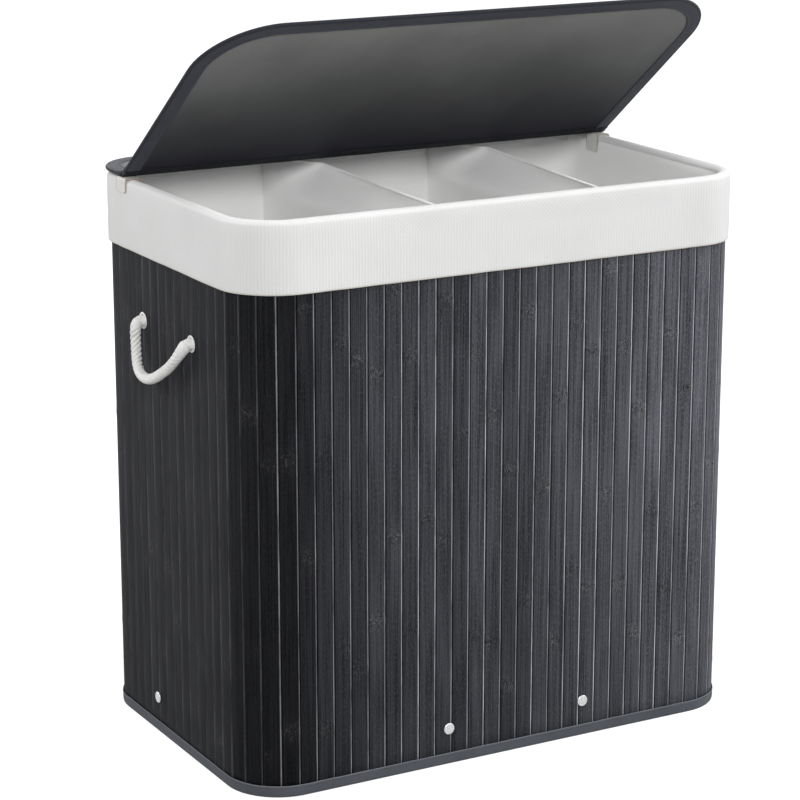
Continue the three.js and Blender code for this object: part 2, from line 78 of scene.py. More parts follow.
# %% [markdown]
# Small helpers build every material. The first starts a principled shader and sets the values that are the
# same all over a surface on the shader's own sockets. The second adds one node, sets its values and links
# those inputs that come from another node. The others are the steps that come again and again, so that a
# finish reads from top to bottom like a recipe.

# %% Helpers for materials
CLOTH_MAP = "flat_cloth"


def start_finish(name, roughness, **sockets):
    material = bpy.data.materials.new(name)
    material.use_nodes = True
    tree = material.node_tree
    shader = tree.nodes["Principled BSDF"]
    shader.inputs["Roughness"].default_value = roughness
    for socket, value in sockets.items():
        shader.inputs[socket.replace("_", " ")].default_value = value
    return material, tree, shader


def put(tree, kind, inputs=None, **settings):
    node = tree.nodes.new("ShaderNode" + kind)
    for key, value in settings.items():
        setattr(node, key, value)
    for key, value in (inputs or {}).items():
        if isinstance(value, bpy.types.NodeSocket):
            tree.links.new(value, node.inputs[key])
        else:
            node.inputs[key].default_value = value
    return node


def calculate(tree, operation, first, second=0.0, third=0.0, clamp=False):
    values = {0: first, 1: second, 2: third}
    return put(tree, "Math", values, operation=operation, use_clamp=clamp).outputs[0]


def times(tree, first, second, clamp=False):
    return calculate(tree, "MULTIPLY", first, second, clamp=clamp)


def times_plus(tree, first, second, third):
    return calculate(tree, "MULTIPLY_ADD", first, second, third)


def weighted(tree, first, first_share, second, second_share):
    return times_plus(tree, first, first_share, times(tree, second, second_share))


def in_object(tree):
    return put(tree, "TexCoord").outputs["Object"]


def on_cloth(tree):
    return put(tree, "UVMap", uv_map=CLOTH_MAP).outputs["UV"]


def carried(tree, name):
    """A number that the mesh carries on its points."""
    return put(tree, "Attribute", attribute_name=name).outputs["Fac"]


def blend_colours(tree, share, first, second, kind="MIX"):
    node = put(tree, "Mix", data_type="RGBA", blend_type=kind)
    for index, value in ((0, share), (6, first), (7, second)):
        if isinstance(value, bpy.types.NodeSocket):
            tree.links.new(value, node.inputs[index])
        else:
            node.inputs[index].default_value = value if index == 0 else (*value, 1)
    return node.outputs[2]


def remap(tree, value, low, high, to_low=0.0, to_high=1.0):
    inputs = {"Value": value, "From Min": low, "From Max": high, "To Min": to_low, "To Max": to_high}
    return put(tree, "MapRange", inputs).outputs["Result"]


def stretched_noise(tree, place, scales, detail=2.0, roughness=0.5, warp=0.0):
    if not isinstance(scales, tuple):
        scales = (scales,) * 3
    scaled = put(tree, "Mapping", {"Vector": place, "Scale": scales}).outputs["Vector"]
    inputs = {"Vector": scaled, "Scale": 1.0, "Detail": detail, "Roughness": roughness, "Distortion": warp}
    return put(tree, "TexNoise", inputs).outputs["Fac"]


def paint(tree, shader, colour, roughness=None):
    tree.links.new(colour, shader.inputs["Base Color"])
    if roughness is not None:
        tree.links.new(roughness, shader.inputs["Roughness"])


def raise_surface(tree, shader, height, distance, strength):
    bump = put(tree, "Bump", {"Height": height, "Distance": distance, "Strength": strength})
    tree.links.new(bump.outputs["Normal"], shader.inputs["Normal"])


# %% [markdown]
# Most pieces are grids of points: a cloth, a tape or a rope is a section carried along a line. One helper
# turns such a grid into a mesh, closes it round either direction, caps the ends of a tube, and keeps the
# cloth's own flat measures in metres as a UV map, so that a weave has the same size on every piece.

# %% Helpers for meshes
def new_piece(name, points, faces, material):
    mesh = bpy.data.meshes.new(name)
    mesh.from_pydata([tuple(map(float, p)) for p in points], [], faces)
    mesh.update()
    for polygon in mesh.polygons:
        polygon.use_smooth = True
    mesh.materials.append(material)
    piece = bpy.data.objects.new(name, mesh)
    bpy.context.scene.collection.objects.link(piece)
    return piece


def grid_piece(name, grid, material, round_rows=False, round_columns=False, caps=False, flat=None):
    """grid[row][column] is a point; flat gives the same grid's places on the flat cloth, with one more
    row or column where it closes."""
    rows, columns = grid.shape[:2]
    faces, corners = [], []
    for i in range(rows if round_rows else rows - 1):
        for j in range(columns if round_columns else columns - 1):
            a, b = (i + 1) % rows, (j + 1) % columns
            faces.append((i * columns + j, i * columns + b, a * columns + b, a * columns + j))
            corners.append(((i, j), (i, j + 1), (i + 1, j + 1), (i + 1, j)))
    if caps:
        faces.append(tuple(range(columns - 1, -1, -1)))
        faces.append(tuple((rows - 1) * columns + j for j in range(columns)))
    piece = new_piece(name, grid.reshape(-1, 3), faces, material)
    if flat is not None:
        layer = piece.data.uv_layers.new(name=CLOTH_MAP)
        spots = [flat[i][j] for quad in corners for i, j in quad]
        spots += [(0.0, 0.0)] * (len(layer.data) - len(spots))
        layer.data.foreach_set("uv", np.array(spots, np.float32).ravel())
    return piece


def face_outwards(piece):
    bpy.context.view_layer.objects.active = piece
    piece.select_set(True)
    bpy.ops.object.mode_set(mode="EDIT")
    bpy.ops.mesh.select_all(action="SELECT")
    bpy.ops.mesh.normals_make_consistent(inside=False)
    bpy.ops.object.mode_set(mode="OBJECT")
    piece.select_set(False)
    return piece


def place_on(piece, body, slot, *nodes):
    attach(piece, body)
    if nodes:
        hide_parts(*nodes)
    return piece


def run_along(points):
    """How far each point lies along the line through them."""
    return np.r_[0, np.cumsum(np.linalg.norm(np.diff(points, axis=0), axis=1))]


def flat_grid(across, along):
    return [[(u, v) for u in across] for v in along]


def carry(piece, name, values):
    """Stores a number on every point of a mesh, for the material to read."""
    attribute = piece.data.attributes.new(name, "FLOAT", "POINT")
    attribute.data.foreach_set("value", np.asarray(values, np.float32).ravel())


def rounded_reach(half, corner, over):
    """Half the width of a rounded outline, a distance over past the start of its corner."""
    return half - corner + math.sqrt(max(0.0, corner ** 2 - over ** 2))


def smooth_share(value):
    value = np.clip(value, 0, 1)
    return value * value * (3 - 2 * value)


# %% [markdown]
# The two handles come next, because a rope's length and route decide whether the part fits its box. On the
# real hamper a white cotton rope of 12 mm goes through two holes on each end and hangs in a lopsided loop:
# steep at the rear, slanting up to the front. Its centre line repeats the solid's points. The left loop is
# listed and the right one is its mirror image.

# %% Route of the rope
MM = 0.001
ROPE, ROPE_STEP = 0.012, 0.0012
HOLE_HEIGHT = 0.459
HALF_WIDTH, HALF_DEPTH, CORNER = 0.300, 0.189, 0.060
LOOP_POINTS_MM = [
    (60, 3.6, -0.4), (59.9, 6.4, 1.0), (59.7, 8.7, 4.2), (59.4, 9.9, 8.6), (58.9, 10.4, 14.5),
    (57.2, 10.8, 24), (53.5, 12, 34), (47, 14, 43), (36.5, 16, 49.2), (22.5, 17.3, 51.6), (7.5, 18, 50),
    (-8.5, 18, 44.5), (-24, 17.3, 36.5), (-38, 15.6, 27.5), (-48.5, 14.0, 18.5), (-54.5, 12.0, 11.5),
    (-58.0, 9.2, 5.6), (-59.5, 6.6, 1.8), (-60, 3.6, -0.2)]


def smooth_line(points, spacing):
    """Points at even distances on a smooth curve through the given points."""
    p = np.array(points, float)
    p = np.vstack([2 * p[0] - p[1], p, 2 * p[-1] - p[-2]])
    dense = []
    for i in range(1, len(p) - 2):
        for t in np.linspace(0, 1, 24, endpoint=False):
            a, b, c, d = p[i - 1:i + 3]
            dense.append(0.5 * (2 * b + (c - a) * t + (2 * a - 5 * b + 4 * c - d) * t ** 2
                                + (3 * b - a - 3 * c + d) * t ** 3))
    dense = np.array(dense + [p[-2]])
    run = run_along(dense)
    even = np.linspace(0, run[-1], max(2, int(round(run[-1] / spacing)) + 1))
    return np.stack([np.interp(even, run, dense[:, k]) for k in range(3)], 1), run[-1]


def loop_route(side):
    points = [(side * (HALF_WIDTH + out * MM), along * MM, HOLE_HEIGHT - drop * MM)
              for along, out, drop in LOOP_POINTS_MM]
    return smooth_line(points, ROPE_STEP)


print("rope between its turning points", round(loop_route(-1)[1], 4), "m")

# %% [markdown]
# A twisted rope could be several thin tubes wound round each other. One tube whose section has four lobes,
# turned a little at every step, gives the same look with one closed skin. The lobes are flattened where the
# strands press on each other, and they fade towards the holes, where the real rope is bound smooth and
# thick. The mesh carries where the grooves between the strands are, and the cotton is painted darker
# there, as painted shade.

# %% Cotton finish of the rope
cotton_rope, tree, shader = start_finish("cotton_rope", 0.85, Sheen_Weight=0.25, Sheen_Roughness=0.4)
flat_place = on_cloth(tree)
yarn = put(tree, "TexWave", {"Vector": put(tree, "Mapping", {
    "Vector": flat_place, "Rotation": (0, 0, 0.62), "Scale": (290, 290, 1)}).outputs["Vector"],
    "Scale": 1.0, "Distortion": 2.2, "Detail": 2.0, "Detail Scale": 1.5}, wave_profile="SIN")
object_place = in_object(tree)
patches = stretched_noise(tree, object_place, 130, 3.0)
tone = blend_colours(tree, patches, (0.80, 0.797, 0.775), (0.88, 0.88, 0.868))
hollows = remap(tree, yarn.outputs["Fac"], 0.0, 0.45, 0.22, 0.0)
threads = blend_colours(tree, hollows, tone, (0.62, 0.615, 0.59))
# Painted shade: the cotton is painted darker in the grooves between the strands.
painted_groove_shade = times(tree, carried(tree, "painted_groove_shade"), 0.40)
paint(tree, shader, blend_colours(tree, painted_groove_shade, threads, (0.46, 0.455, 0.43)))
fuzz = stretched_noise(tree, object_place, 1900, 2.0)
height = times_plus(tree, fuzz, 0.35, yarn.outputs["Fac"])
raise_surface(tree, shader, height, 0.00009, 0.6)

# %% The twisted tube
STRANDS = 4
TWIST_PITCH = 0.0225
DRAWN_SHARE = 0.94
FULL_GROOVE, GROOVE_WIDTH = 0.12, 0.75


def tube_frames(line):
    """Two directions across the line at each point, carried along without twisting."""
    tangents = np.gradient(line, axis=0)
    tangents /= np.linalg.norm(tangents, axis=1)[:, None]
    across = np.cross(tangents[0], (0.3, 0.2, 1.0))
    frames = []
    for tangent in tangents:
        across = across - tangent * across.dot(tangent)
        across /= np.linalg.norm(across)
        frames.append((across.copy(), np.cross(tangent, across)))
    return frames


def rope_tube(name, line, radius, relief, sides=56):
    """radius and relief are given for each point: relief is how deep the strands are cut, as a share."""
    frames = tube_frames(line)
    step = run_along(line)
    turn = np.linspace(0, 2 * math.pi, sides, endpoint=False)
    grid = np.zeros((len(line), sides, 3))
    lobe = np.abs(np.sin(STRANDS * turn / 2))
    for i, (point, (a, b)) in enumerate(zip(line, frames)):
        phase = turn + 2 * math.pi * step[i] / TWIST_PITCH
        reach = radius[i] * (1 - relief[i] * (1 - lobe ** 0.62))
        grid[i] = point + (np.cos(phase) * reach)[:, None] * a + (np.sin(phase) * reach)[:, None] * b
    flat = flat_grid(np.append(turn, 2 * math.pi) * radius.mean(), step)
    tube = grid_piece(name, grid, cotton_rope, round_columns=True, caps=True, flat=flat)
    depth = np.clip(relief / FULL_GROOVE, 0, 1)
    carry(tube, "painted_groove_shade", np.outer(depth, 1 - smooth_share(lobe / GROOVE_WIDTH)))
    return face_outwards(tube)


def rope_loop(name, side):
    line, length = loop_route(side)
    run = np.linspace(0, length, len(line))
    nearest_end = np.minimum(run, length - run)
    swell = 1 - smooth_share(nearest_end / 0.024)
    rounded_end = np.sqrt(np.clip(1 - (1 - np.clip(nearest_end / 0.004, 0, 1)) ** 2, 0.02, 1))
    flare = np.where(run > length / 2, 0.24, 0.10)
    radius = ROPE / 2 * DRAWN_SHARE * (1 + flare * swell) * rounded_end
    relief = 0.30 * smooth_share((run - 0.006) / 0.010)
    relief *= 0.25 + 0.75 * smooth_share((length - run - 0.02) / 0.09)
    relief *= smooth_share((length - run - 0.006) / 0.010)
    return rope_tube(name, line, radius, relief), line, length


# %% [markdown]
# Each rope end passes through the eyelet to a stopper knot inside the wall. The stub that shows is bound
# smooth and ends in a rounded knuckle, which the bend of the loop grows out of, so that the loop can swing
# against it without a gap. The knot behind the wall is three turns wound round the rope.

# %% Rope ends
ENDS = (("left", -1), ("right", 1))
HOLES = (("rear", 0.060), ("front", -0.060))
KNOT_TURNS, KNOT_START, KNOT_LENGTH, KNOT_REACH = 3, 0.0108, 0.0144, 0.0092
KNOT_SPOTS, KNOT_STRAND, KNOT_RELIEF = 130, 0.0036, 0.1
STUB_SPOTS, STUB_RELIEF = 60, 0.03


def rope_end(name, side, along):
    centre = np.array([side * HALF_WIDTH, along, HOLE_HEIGHT])
    out = np.array([side, 0.0, 0.0])
    stub = [-0.0262, -0.018, -0.010, -0.004, 0.0, 0.003, 0.0045,
            0.0060, 0.0072, 0.0082, 0.0090, 0.0096, 0.0099, 0.0100]
    reach = [5.2, 5.8, 5.9, 5.9, 5.9, 5.85, 5.75, 5.5, 5.1, 4.5, 3.6, 2.5, 1.6, 0.4]
    stub_fine = np.linspace(stub[0], stub[-1], STUB_SPOTS)
    line = centre + out * stub_fine[:, None]
    radius = np.interp(stub_fine, stub, reach) * MM
    core = rope_tube(name, line, radius, np.full(STUB_SPOTS, STUB_RELIEF), sides=40)
    turns = np.linspace(0, KNOT_TURNS * 2 * math.pi, KNOT_SPOTS)
    coil = np.stack([centre[0] - side * (KNOT_START + KNOT_LENGTH * turns / turns[-1]),
                     centre[1] + KNOT_REACH * np.cos(turns), centre[2] + KNOT_REACH * np.sin(turns)], 1)
    knot = rope_tube(name + "_knot", coil, np.full(KNOT_SPOTS, KNOT_STRAND),
                     np.full(KNOT_SPOTS, KNOT_RELIEF), sides=20)
    return core, knot


def add_handle(label, side):
    body = "handle_" + label
    loop, line, length = rope_loop("rope_handle_loop_" + label, side)
    place_on(loop, body, "cotton_rope", "rope_handle_" + label)
    for place, along in HOLES:
        node = f"rope_end_{label}_{place}"
        for piece in rope_end(node + "_cotton", side, along):
            place_on(piece, "root", "cotton_rope", node)
    tuple(line[0])
    return loop


handles = [add_handle(label, side) for label, side in ENDS]
print("handles", [h.name for h in handles])

# %% [markdown]
# The room is plain: a pale floor, a white surrounding and soft lamps. The background is white only for what
# the camera, a gloss or a glass sees, so it adds no light to the hamper. The floor keeps a faint shadow,
# because part of its brightness is reflected light and only the rest is its own. Its own share grows with
# the distance from the hamper, so that the far floor is as white as the surrounding.

# %% Floor and surrounding
FLOOR_REACH, FLOOR_LEVEL = 40.0, -0.0006
NEAR_GLOW, FAR_GLOW = 0.82, 0.98
SKY_FOR_LIGHT = 0.17


def seen_directly(tree):
    path = put(tree, "LightPath")
    both = calculate(tree, "MAXIMUM", path.outputs["Is Camera Ray"], path.outputs["Is Glossy Ray"])
    return calculate(tree, "MAXIMUM", both, path.outputs["Is Transmission Ray"])


floor_mesh = bpy.data.meshes.new("floor")
corners = [(x * FLOOR_REACH, y * FLOOR_REACH, FLOOR_LEVEL) for x, y in ((-1, -1), (1, -1), (1, 1), (-1, 1))]
floor_mesh.from_pydata(corners, [], [(0, 1, 2, 3)])
floor = bpy.data.objects.new("floor", floor_mesh)
bpy.context.scene.collection.objects.link(floor)
floor_paint = bpy.data.materials.new("pale_floor")
floor_paint.use_nodes = True
tree = floor_paint.node_tree
tree.nodes.clear()
seen = seen_directly(tree)
lit = put(tree, "BsdfDiffuse", {"Color": (0.42, 0.42, 0.42, 1)})
shaded = put(tree, "BsdfDiffuse", {"Color": (0.36, 0.36, 0.36, 1)})
distance = put(tree, "VectorMath", {0: in_object(tree)}, operation="LENGTH").outputs["Value"]
own_light = remap(tree, distance, 0.6, 1.8, NEAR_GLOW, FAR_GLOW)
glow = put(tree, "Emission", {"Color": (1, 1, 1, 1), "Strength": own_light})
white = put(tree, "AddShader", {0: shaded.outputs[0], 1: glow.outputs[0]})
surface = put(tree, "MixShader", {0: seen, 1: lit.outputs[0], 2: white.outputs[0]})
put(tree, "OutputMaterial", {"Surface": surface.outputs[0]})
floor.data.materials.append(floor_paint)

world = bpy.data.worlds.new("white_room")
world.use_nodes = True
bpy.context.scene.world = world
tree = world.node_tree
strength = remap(tree, seen_directly(tree), 0.0, 1.0, SKY_FOR_LIGHT, 1.0)
background = tree.nodes["Background"]
background.inputs["Color"].default_value = (1, 1, 1, 1)
tree.links.new(strength, background.inputs["Strength"])
print("floor", FLOOR_REACH * 2, "m wide")

# %% [markdown]
# Large soft lamps do the rest. The front left one shines past the raised lid into the compartments, the two
# on the right make the front brighter towards that side, the one overhead brightens the turn of the cuff,
# and the rear left one lights the end with the handle. The last stands behind, so that the back isn't left
# in the dark.

# %% Lamps
LAMP_AIM = Vector((0, 0, 0.5))
LAMPS = {  # place, size and watts
    "front_right_softbox": ((1.9, -2.9, 1.9), (1.6, 1.4), 24),
    "front_left_softbox": ((-1.7, -2.6, 2.0), (1.4, 1.2), 62),
    "overhead_softbox": ((0.2, -0.9, 3.3), (1.6, 1.2), 34),
    "right_softbox": ((3.0, -0.7, 1.9), (1.4, 1.4), 64),
    "rear_left_softbox": ((-2.4, 1.9, 1.8), (1.4, 1.4), 46),
    "rear_softbox": ((0.8, 3.0, 2.0), (1.4, 1.4), 30)}
for name, (place, size, watts) in LAMPS.items():
    data = bpy.data.lights.new(name, "AREA")
    data.shape = "RECTANGLE"
    data.size, data.size_y = size
    data.energy = watts
    lamp = bpy.data.objects.new(name, data)
    lamp.location = place
    lamp.rotation_euler = (LAMP_AIM - Vector(place)).to_track_quat("-Z", "Y").to_euler()
    bpy.context.scene.collection.objects.link(lamp)
bpy.context.scene.view_settings.view_transform = "Standard"

# %% [markdown]
# The wall is a mat of 93 bamboo slats. They follow a rounded rectangle, and because each slat is stiff, the
# corners are faceted slat by slat. All pieces round the wall use the line of the slats' outer faces: a
# place on it is a distance from the middle of the back, and a layer is an offset from it. The bag's rings
# are rounded rectangles too, and use the same functions.

# %% The line of the wall
def straight_sides(half_x, half_y, radius):
    """Length, start and direction of a rounded rectangle's straight sides, from the middle of the back on."""
    x, y = half_x - radius, half_y - radius
    return [(x, (0, half_y), (-1, 0)), (2 * y, (-half_x, y), (0, -1)), (2 * x, (-x, -half_y), (1, 0)),
            (2 * y, (half_x, -y), (0, 1)), (x, (x, half_y), (-1, 0))]


def round_place(distance, sides, radius):
    """A point of the rounded rectangle and the direction outwards there."""
    arc = radius * math.pi / 2
    for length, start, way in sides:
        way = np.array(way, float)
        outwards = np.array([way[1], -way[0]])
        if distance <= length:
            return np.array(start) + way * distance, outwards
        distance -= length
        if distance <= arc:
            turned = outwards * math.cos(distance / radius) + way * math.sin(distance / radius)
            return np.array(start) + way * length - outwards * radius + turned * radius, turned
        distance -= arc


def round_line(half_x, half_y, radius, count):
    """Evenly spaced points of a rounded rectangle, the directions outwards there, and its length."""
    sides = straight_sides(half_x, half_y, radius)
    total = sum(side[0] for side in sides) + 2 * math.pi * radius
    spots = [round_place(d, sides, radius) for d in np.linspace(0, total, count, endpoint=False)]
    return np.array([s[0] for s in spots]), np.array([s[1] for s in spots]), total


WALL_SIZE = (HALF_WIDTH, HALF_DEPTH, CORNER)
WALL_LENGTH = round_line(*WALL_SIZE, 1)[2]


def wall_place(distance):
    return round_place(distance % WALL_LENGTH, straight_sides(*WALL_SIZE), CORNER)


print("wall", round(WALL_LENGTH, 4), "m round")

# %% [markdown]
# Split bamboo dyed charcoal shows a fine upright grain, a slightly different tone from slat to slat, and
# mottled bands at the old joints of the cane. Where two slats meet, a painted highlight runs along the right
# edge of one of them, where its bevel catches the light, and a painted shade darkens the other side of the
# dark gap. The mesh carries these as numbers on its points, and the material reads them: the tone of the
# slat, the painted sheen and shade along the wall, the place across the slat, how strong its painted edge
# highlight is, and how near a joint of the cane is. Towards the foot the slats are painted darker, as painted
# shade. The dyed surface is almost without gloss, so its specular level is very low.

# %% Finish of the slats
def grey(tree, value):
    return put(tree, "CombineColor", {0: value, 1: value, 2: value}).outputs[0]


dyed_bamboo, tree, shader = start_finish("dyed_bamboo", 0.55, Specular_IOR_Level=0.04)
object_place = in_object(tree)
slat_tone = carried(tree, "slat_tone")
# Painted sheen and painted shade along the wall, carried by the mesh: 1 is the slats' own colour.
painted_sheen = carried(tree, "painted_sheen")
across = carried(tree, "across")
cane_joint = carried(tree, "cane_joint")
shifted = put(tree, "VectorMath", {0: object_place, 1: put(tree, "CombineXYZ", {
    "Z": times(tree, slat_tone, 9.0)}).outputs[0]}, operation="ADD").outputs[0]
fine_grain = stretched_noise(tree, shifted, (900, 900, 9), 3.0, 0.65)
broad_grain = stretched_noise(tree, shifted, (330, 330, 3.0), 2.0)
patchy = stretched_noise(tree, shifted, (40, 40, 9), 2.0)
weathering = stretched_noise(tree, shifted, (1100, 1100, 300), 3.0, 0.65)
grain = weighted(tree, fine_grain, 0.68, broad_grain, 0.32)
streaks = remap(tree, grain, 0.39, 0.61)
clouds = remap(tree, patchy, 0.3, 0.7, -0.2, 0.2)
cloudy_streaks = calculate(tree, "ADD", clouds, streaks, clamp=True)
body = blend_colours(tree, cloudy_streaks, (0.021, 0.022, 0.026), (0.082, 0.085, 0.098))
flecked = blend_colours(tree, remap(tree, weathering, 0.50, 0.66, 0.0, 0.55), body, (0.135, 0.139, 0.154))
# The slat's own tone times the painted sheen and shade along the wall.
tone_with_painted_light = times(tree, remap(tree, slat_tone, 0.0, 1.0, 0.79, 1.21), painted_sheen)
# Painted shade: the slats are painted darker towards the foot.
up_the_wall = put(tree, "SeparateXYZ", {0: object_place}).outputs[2]
tone_with_painted_light = times(tree, tone_with_painted_light, remap(tree, up_the_wall, 0.0, 0.36, 0.72, 1.0))
toned = blend_colours(tree, 1.0, flecked, grey(tree, tone_with_painted_light), "MULTIPLY")
mottle = stretched_noise(tree, object_place, (520, 520, 330), 3.0, 0.6, 1.6)
pores = times(tree, cane_joint, remap(tree, mottle, 0.47, 0.40), clamp=True)
speckle = times(tree, cane_joint, remap(tree, mottle, 0.54, 0.60), clamp=True)
speckle = times(tree, speckle, remap(tree, patchy, 0.38, 0.62, 0.10, 0.80))
dark_joint = blend_colours(tree, times(tree, pores, 0.95), toned, (0.012, 0.012, 0.014))
joint_colour = grey(tree, times_plus(tree, painted_sheen, 0.15, 0.05))
jointed = blend_colours(tree, times(tree, speckle, 0.80), dark_joint, joint_colour)
# Painted highlight along the right edge of each slat, broken up by noise, paler where the painted sheen is
# stronger.
edge_breaks = stretched_noise(tree, shifted, (60, 60, 13), 3.0, 0.7)
unbroken = remap(tree, edge_breaks, 0.32, 0.60, 0.22, 1.0)
edge = times(tree, remap(tree, across, 0.835, 0.885), unbroken)
edge_highlight = carried(tree, "edge_highlight")
edge_highlight_colour = blend_colours(tree, remap(tree, painted_sheen, 0.35, 1.5), (0.28, 0.29, 0.315), (0.74, 0.755, 0.80))
with_edge_highlight = blend_colours(tree, times(tree, edge, edge_highlight), jointed, edge_highlight_colour)
# Painted shade on the left side of each slat, down into the gap.
painted_gap_shade = times(tree, remap(tree, across, -0.93, -0.98), 0.7)
dyed = blend_colours(tree, painted_gap_shade, with_edge_highlight, (0.006, 0.0065, 0.008))
paint(tree, shader, dyed, roughness=remap(tree, grain, 0.3, 0.7, 0.66, 0.50))
relief = times_plus(tree, times(tree, mottle, cane_joint), 1.2, grain)
raise_surface(tree, shader, relief, 0.00016, 0.6)

# %% [markdown]
# The slats are one mesh of 93 closed strips. A plain box would look like plastic, so each section has a low
# crown and rounded edges, and each slat has its own slightly wavy edges and a shallow swelling at every
# joint of the cane. A seeded generator draws the differences, so the wall is the same in every run. A painted
# sheen and painted shade vary round the wall: along the front the slats are painted paler towards the right,
# and the left end and its corner are painted darkest.

# %% The slats
SLATS = 93
SEAM_SHIFT = 0.004
GAP = 0.0010
ONE_TURN = 6.28
JOINT_STEPS = (-0.016, -0.010, -0.006, -0.003, 0, 0.003, 0.006, 0.010, 0.016)
JOINT_SWELL, SWELL_HALF, BAND_HALF = 0.00028, 0.0042, 0.0105
SLAT_THICK = 0.0032
MAT_FOOT, MAT_TOP = 0.0008, 0.5982
CROWN, MOST_LIFT, MOST_TILT = 0.00022, 0.00004, 0.0012
SECTION = [(-1, -1.0), (-1, -0.30), (-0.985, -0.10), (-0.935, -0.015), (-0.72, 0), (-0.42, 0), (-0.14, 0),
           (0.14, 0), (0.42, 0), (0.72, 0), (0.935, -0.015), (0.985, -0.10), (1, -0.30), (1, -1.0)]


def painted_sheen_at(place):
    """Painted sheen and shade at a place of the wall. The slats' own colour stands for 1."""
    x, y = place
    if y < -HALF_DEPTH + 0.02:
        return float(np.interp((x + 0.25) / 0.5, (0.0, 0.08, 0.28, 0.50, 0.72, 0.90, 1.0),
                               (0.19, 0.47, 0.86, 0.80, 1.22, 1.52, 1.64)))
    if y > HALF_DEPTH - 0.02:
        return 0.60 + 0.55 * math.sin(math.pi * np.clip((0.25 - x) / 0.5, 0, 1))
    if x < 0:
        return 0.22 + 0.09 * np.clip((y + 0.15) / 0.1, 0, 1)
    return 0.62 + 1.30 * np.clip((0.17 - y) / 0.34, 0, 1) ** 1.3


def tube_faces(base, rows, ring):
    """Faces of a tube of rings of points with capped ends. Its first point has the number base."""
    faces = []
    for row in range(base, base + (rows - 1) * ring, ring):
        for j in range(ring):
            b = (j + 1) % ring
            faces.append((row + j, row + b, row + ring + b, row + ring + j))
    faces.append(tuple(range(base + ring - 1, base - 1, -1)))
    faces.append(tuple(range(base + (rows - 1) * ring, base + rows * ring)))
    return faces


def make_slats():
    random = np.random.RandomState(7)
    pitch = WALL_LENGTH / SLATS
    points, faces, values = [], [], []
    for number in range(SLATS):
        start = SEAM_SHIFT + number * pitch
        left, _ = wall_place(start + GAP / 2)
        right, _ = wall_place(start + pitch - GAP / 2)
        middle, width = (left + right) / 2, np.linalg.norm(right - left)
        along = (right - left) / width
        outwards = np.array([along[1], -along[0]])
        first_joint = random.uniform(0.03, 0.30)
        joints = [first_joint, first_joint + random.uniform(0.24, 0.33)]
        slat_tone = np.clip(random.normal(0.5, 0.2), 0, 1)
        lift = random.uniform(-MOST_LIFT, MOST_LIFT)
        tilt = random.uniform(-MOST_TILT, MOST_TILT)
        painted_sheen_level = painted_sheen_at(middle)
        # Painted highlight on the slat's right edge: full on the front and back, weaker on the ends.
        edge_highlight_strength = (1.0 if abs(middle[1]) > 0.17 else 0.30) * random.uniform(0.5, 1.0)
        waves = random.uniform(0, ONE_TURN, 4)
        heights = set(np.round(np.linspace(MAT_FOOT, MAT_TOP, 25), 5))
        for spot in joints:
            heights |= {round(spot + d, 5) for d in JOINT_STEPS}
        heights = sorted(h for h in heights if MAT_FOOT <= h <= MAT_TOP)
        base = len(points)
        for z in heights:
            near = sum(math.exp(-((z - spot) / SWELL_HALF) ** 2) for spot in joints)
            band = min(1.0, sum(math.exp(-((z - spot) / BAND_HALF) ** 2) for spot in joints))
            edge = [0.00006 * math.sin(z * 31 + waves[k]) + 0.00003 * math.sin(z * 67 + waves[k + 2])
                    for k in (0, 1)]
            for u, depth in SECTION:
                shift = edge[0] * max(0, -u) ** 4 + edge[1] * max(0, u) ** 4
                place = middle + along * (u * width / 2 + shift)
                rise = depth * SLAT_THICK
                if depth > -0.2:
                    rise += CROWN * (1 - u * u) + near * JOINT_SWELL + lift + tilt * u * MM * 20
                place = place + outwards * rise
                points.append((place[0], place[1], z))
                across = u if depth > -0.5 else 0.99 * u
                values.append((slat_tone, across, band, painted_sheen_level, edge_highlight_strength))
        faces += tube_faces(base, len(heights), len(SECTION))
    piece = new_piece("bamboo_slats", points, faces, dyed_bamboo)
    for name, column in zip(("slat_tone", "across", "cane_joint", "painted_sheen", "edge_highlight"), np.array(values).T):
        carry(piece, name, column)
    return piece


slats = place_on(make_slats(), "root", "bamboo", "slat_mat")
print("slats", SLATS, "points", len(slats.data.vertices))

# %% [markdown]
# A section carried round the wall makes the other hoops: the cloth at the back of the mat, the tape folded
# round its lower edge, and later the cuff. The section is a list of offsets and heights. A small change of
# the offset from place to place keeps a sewn tape from looking machined.

# %% Hoops round the wall
HOOP_SPOTS = 372


def wall_hoop(name, section, material, count=HOOP_SPOTS, change=None):
    """section is a list of (offset, height); change(row, distance) may move a point outwards and up."""
    line, outwards, _ = round_line(*WALL_SIZE, count)
    distances = np.linspace(0, WALL_LENGTH, count + 1)
    section = np.array(section)
    grid = np.zeros((len(section), count, 3))
    for i, (offset, height) in enumerate(section):
        moved = np.zeros((count, 2)) if change is None else np.array([change(i, d) for d in distances[:-1]])
        grid[i, :, :2] = line + outwards * (offset + moved[:, :1])
        grid[i, :, 2] = height + moved[:, 1]
    flat = flat_grid(distances, run_along(np.vstack([section, section[:1]])))
    return grid_piece(name, grid, material, round_rows=True, round_columns=True, flat=flat)


def ripple(distance, seeds, waves, size):
    turns = 2 * math.pi * distance / WALL_LENGTH
    return size * sum(math.sin(w * turns + s) for w, s in zip(waves, seeds)) / len(waves)


# %% [markdown]
# The tape is a plain dark webbing. A weave this fine is a bump of crossed waves on the cloth's flat
# measures, with a little mottling of the dye. Where a fold or a turned edge faces the light, a painted
# highlight makes it paler: the mesh carries how much painted highlight each point gets, and less than
# nothing means a painted shade that darkens a fold.

# %% Finish of the tapes
def scaled(colour, factor):
    return tuple(c * factor for c in colour)


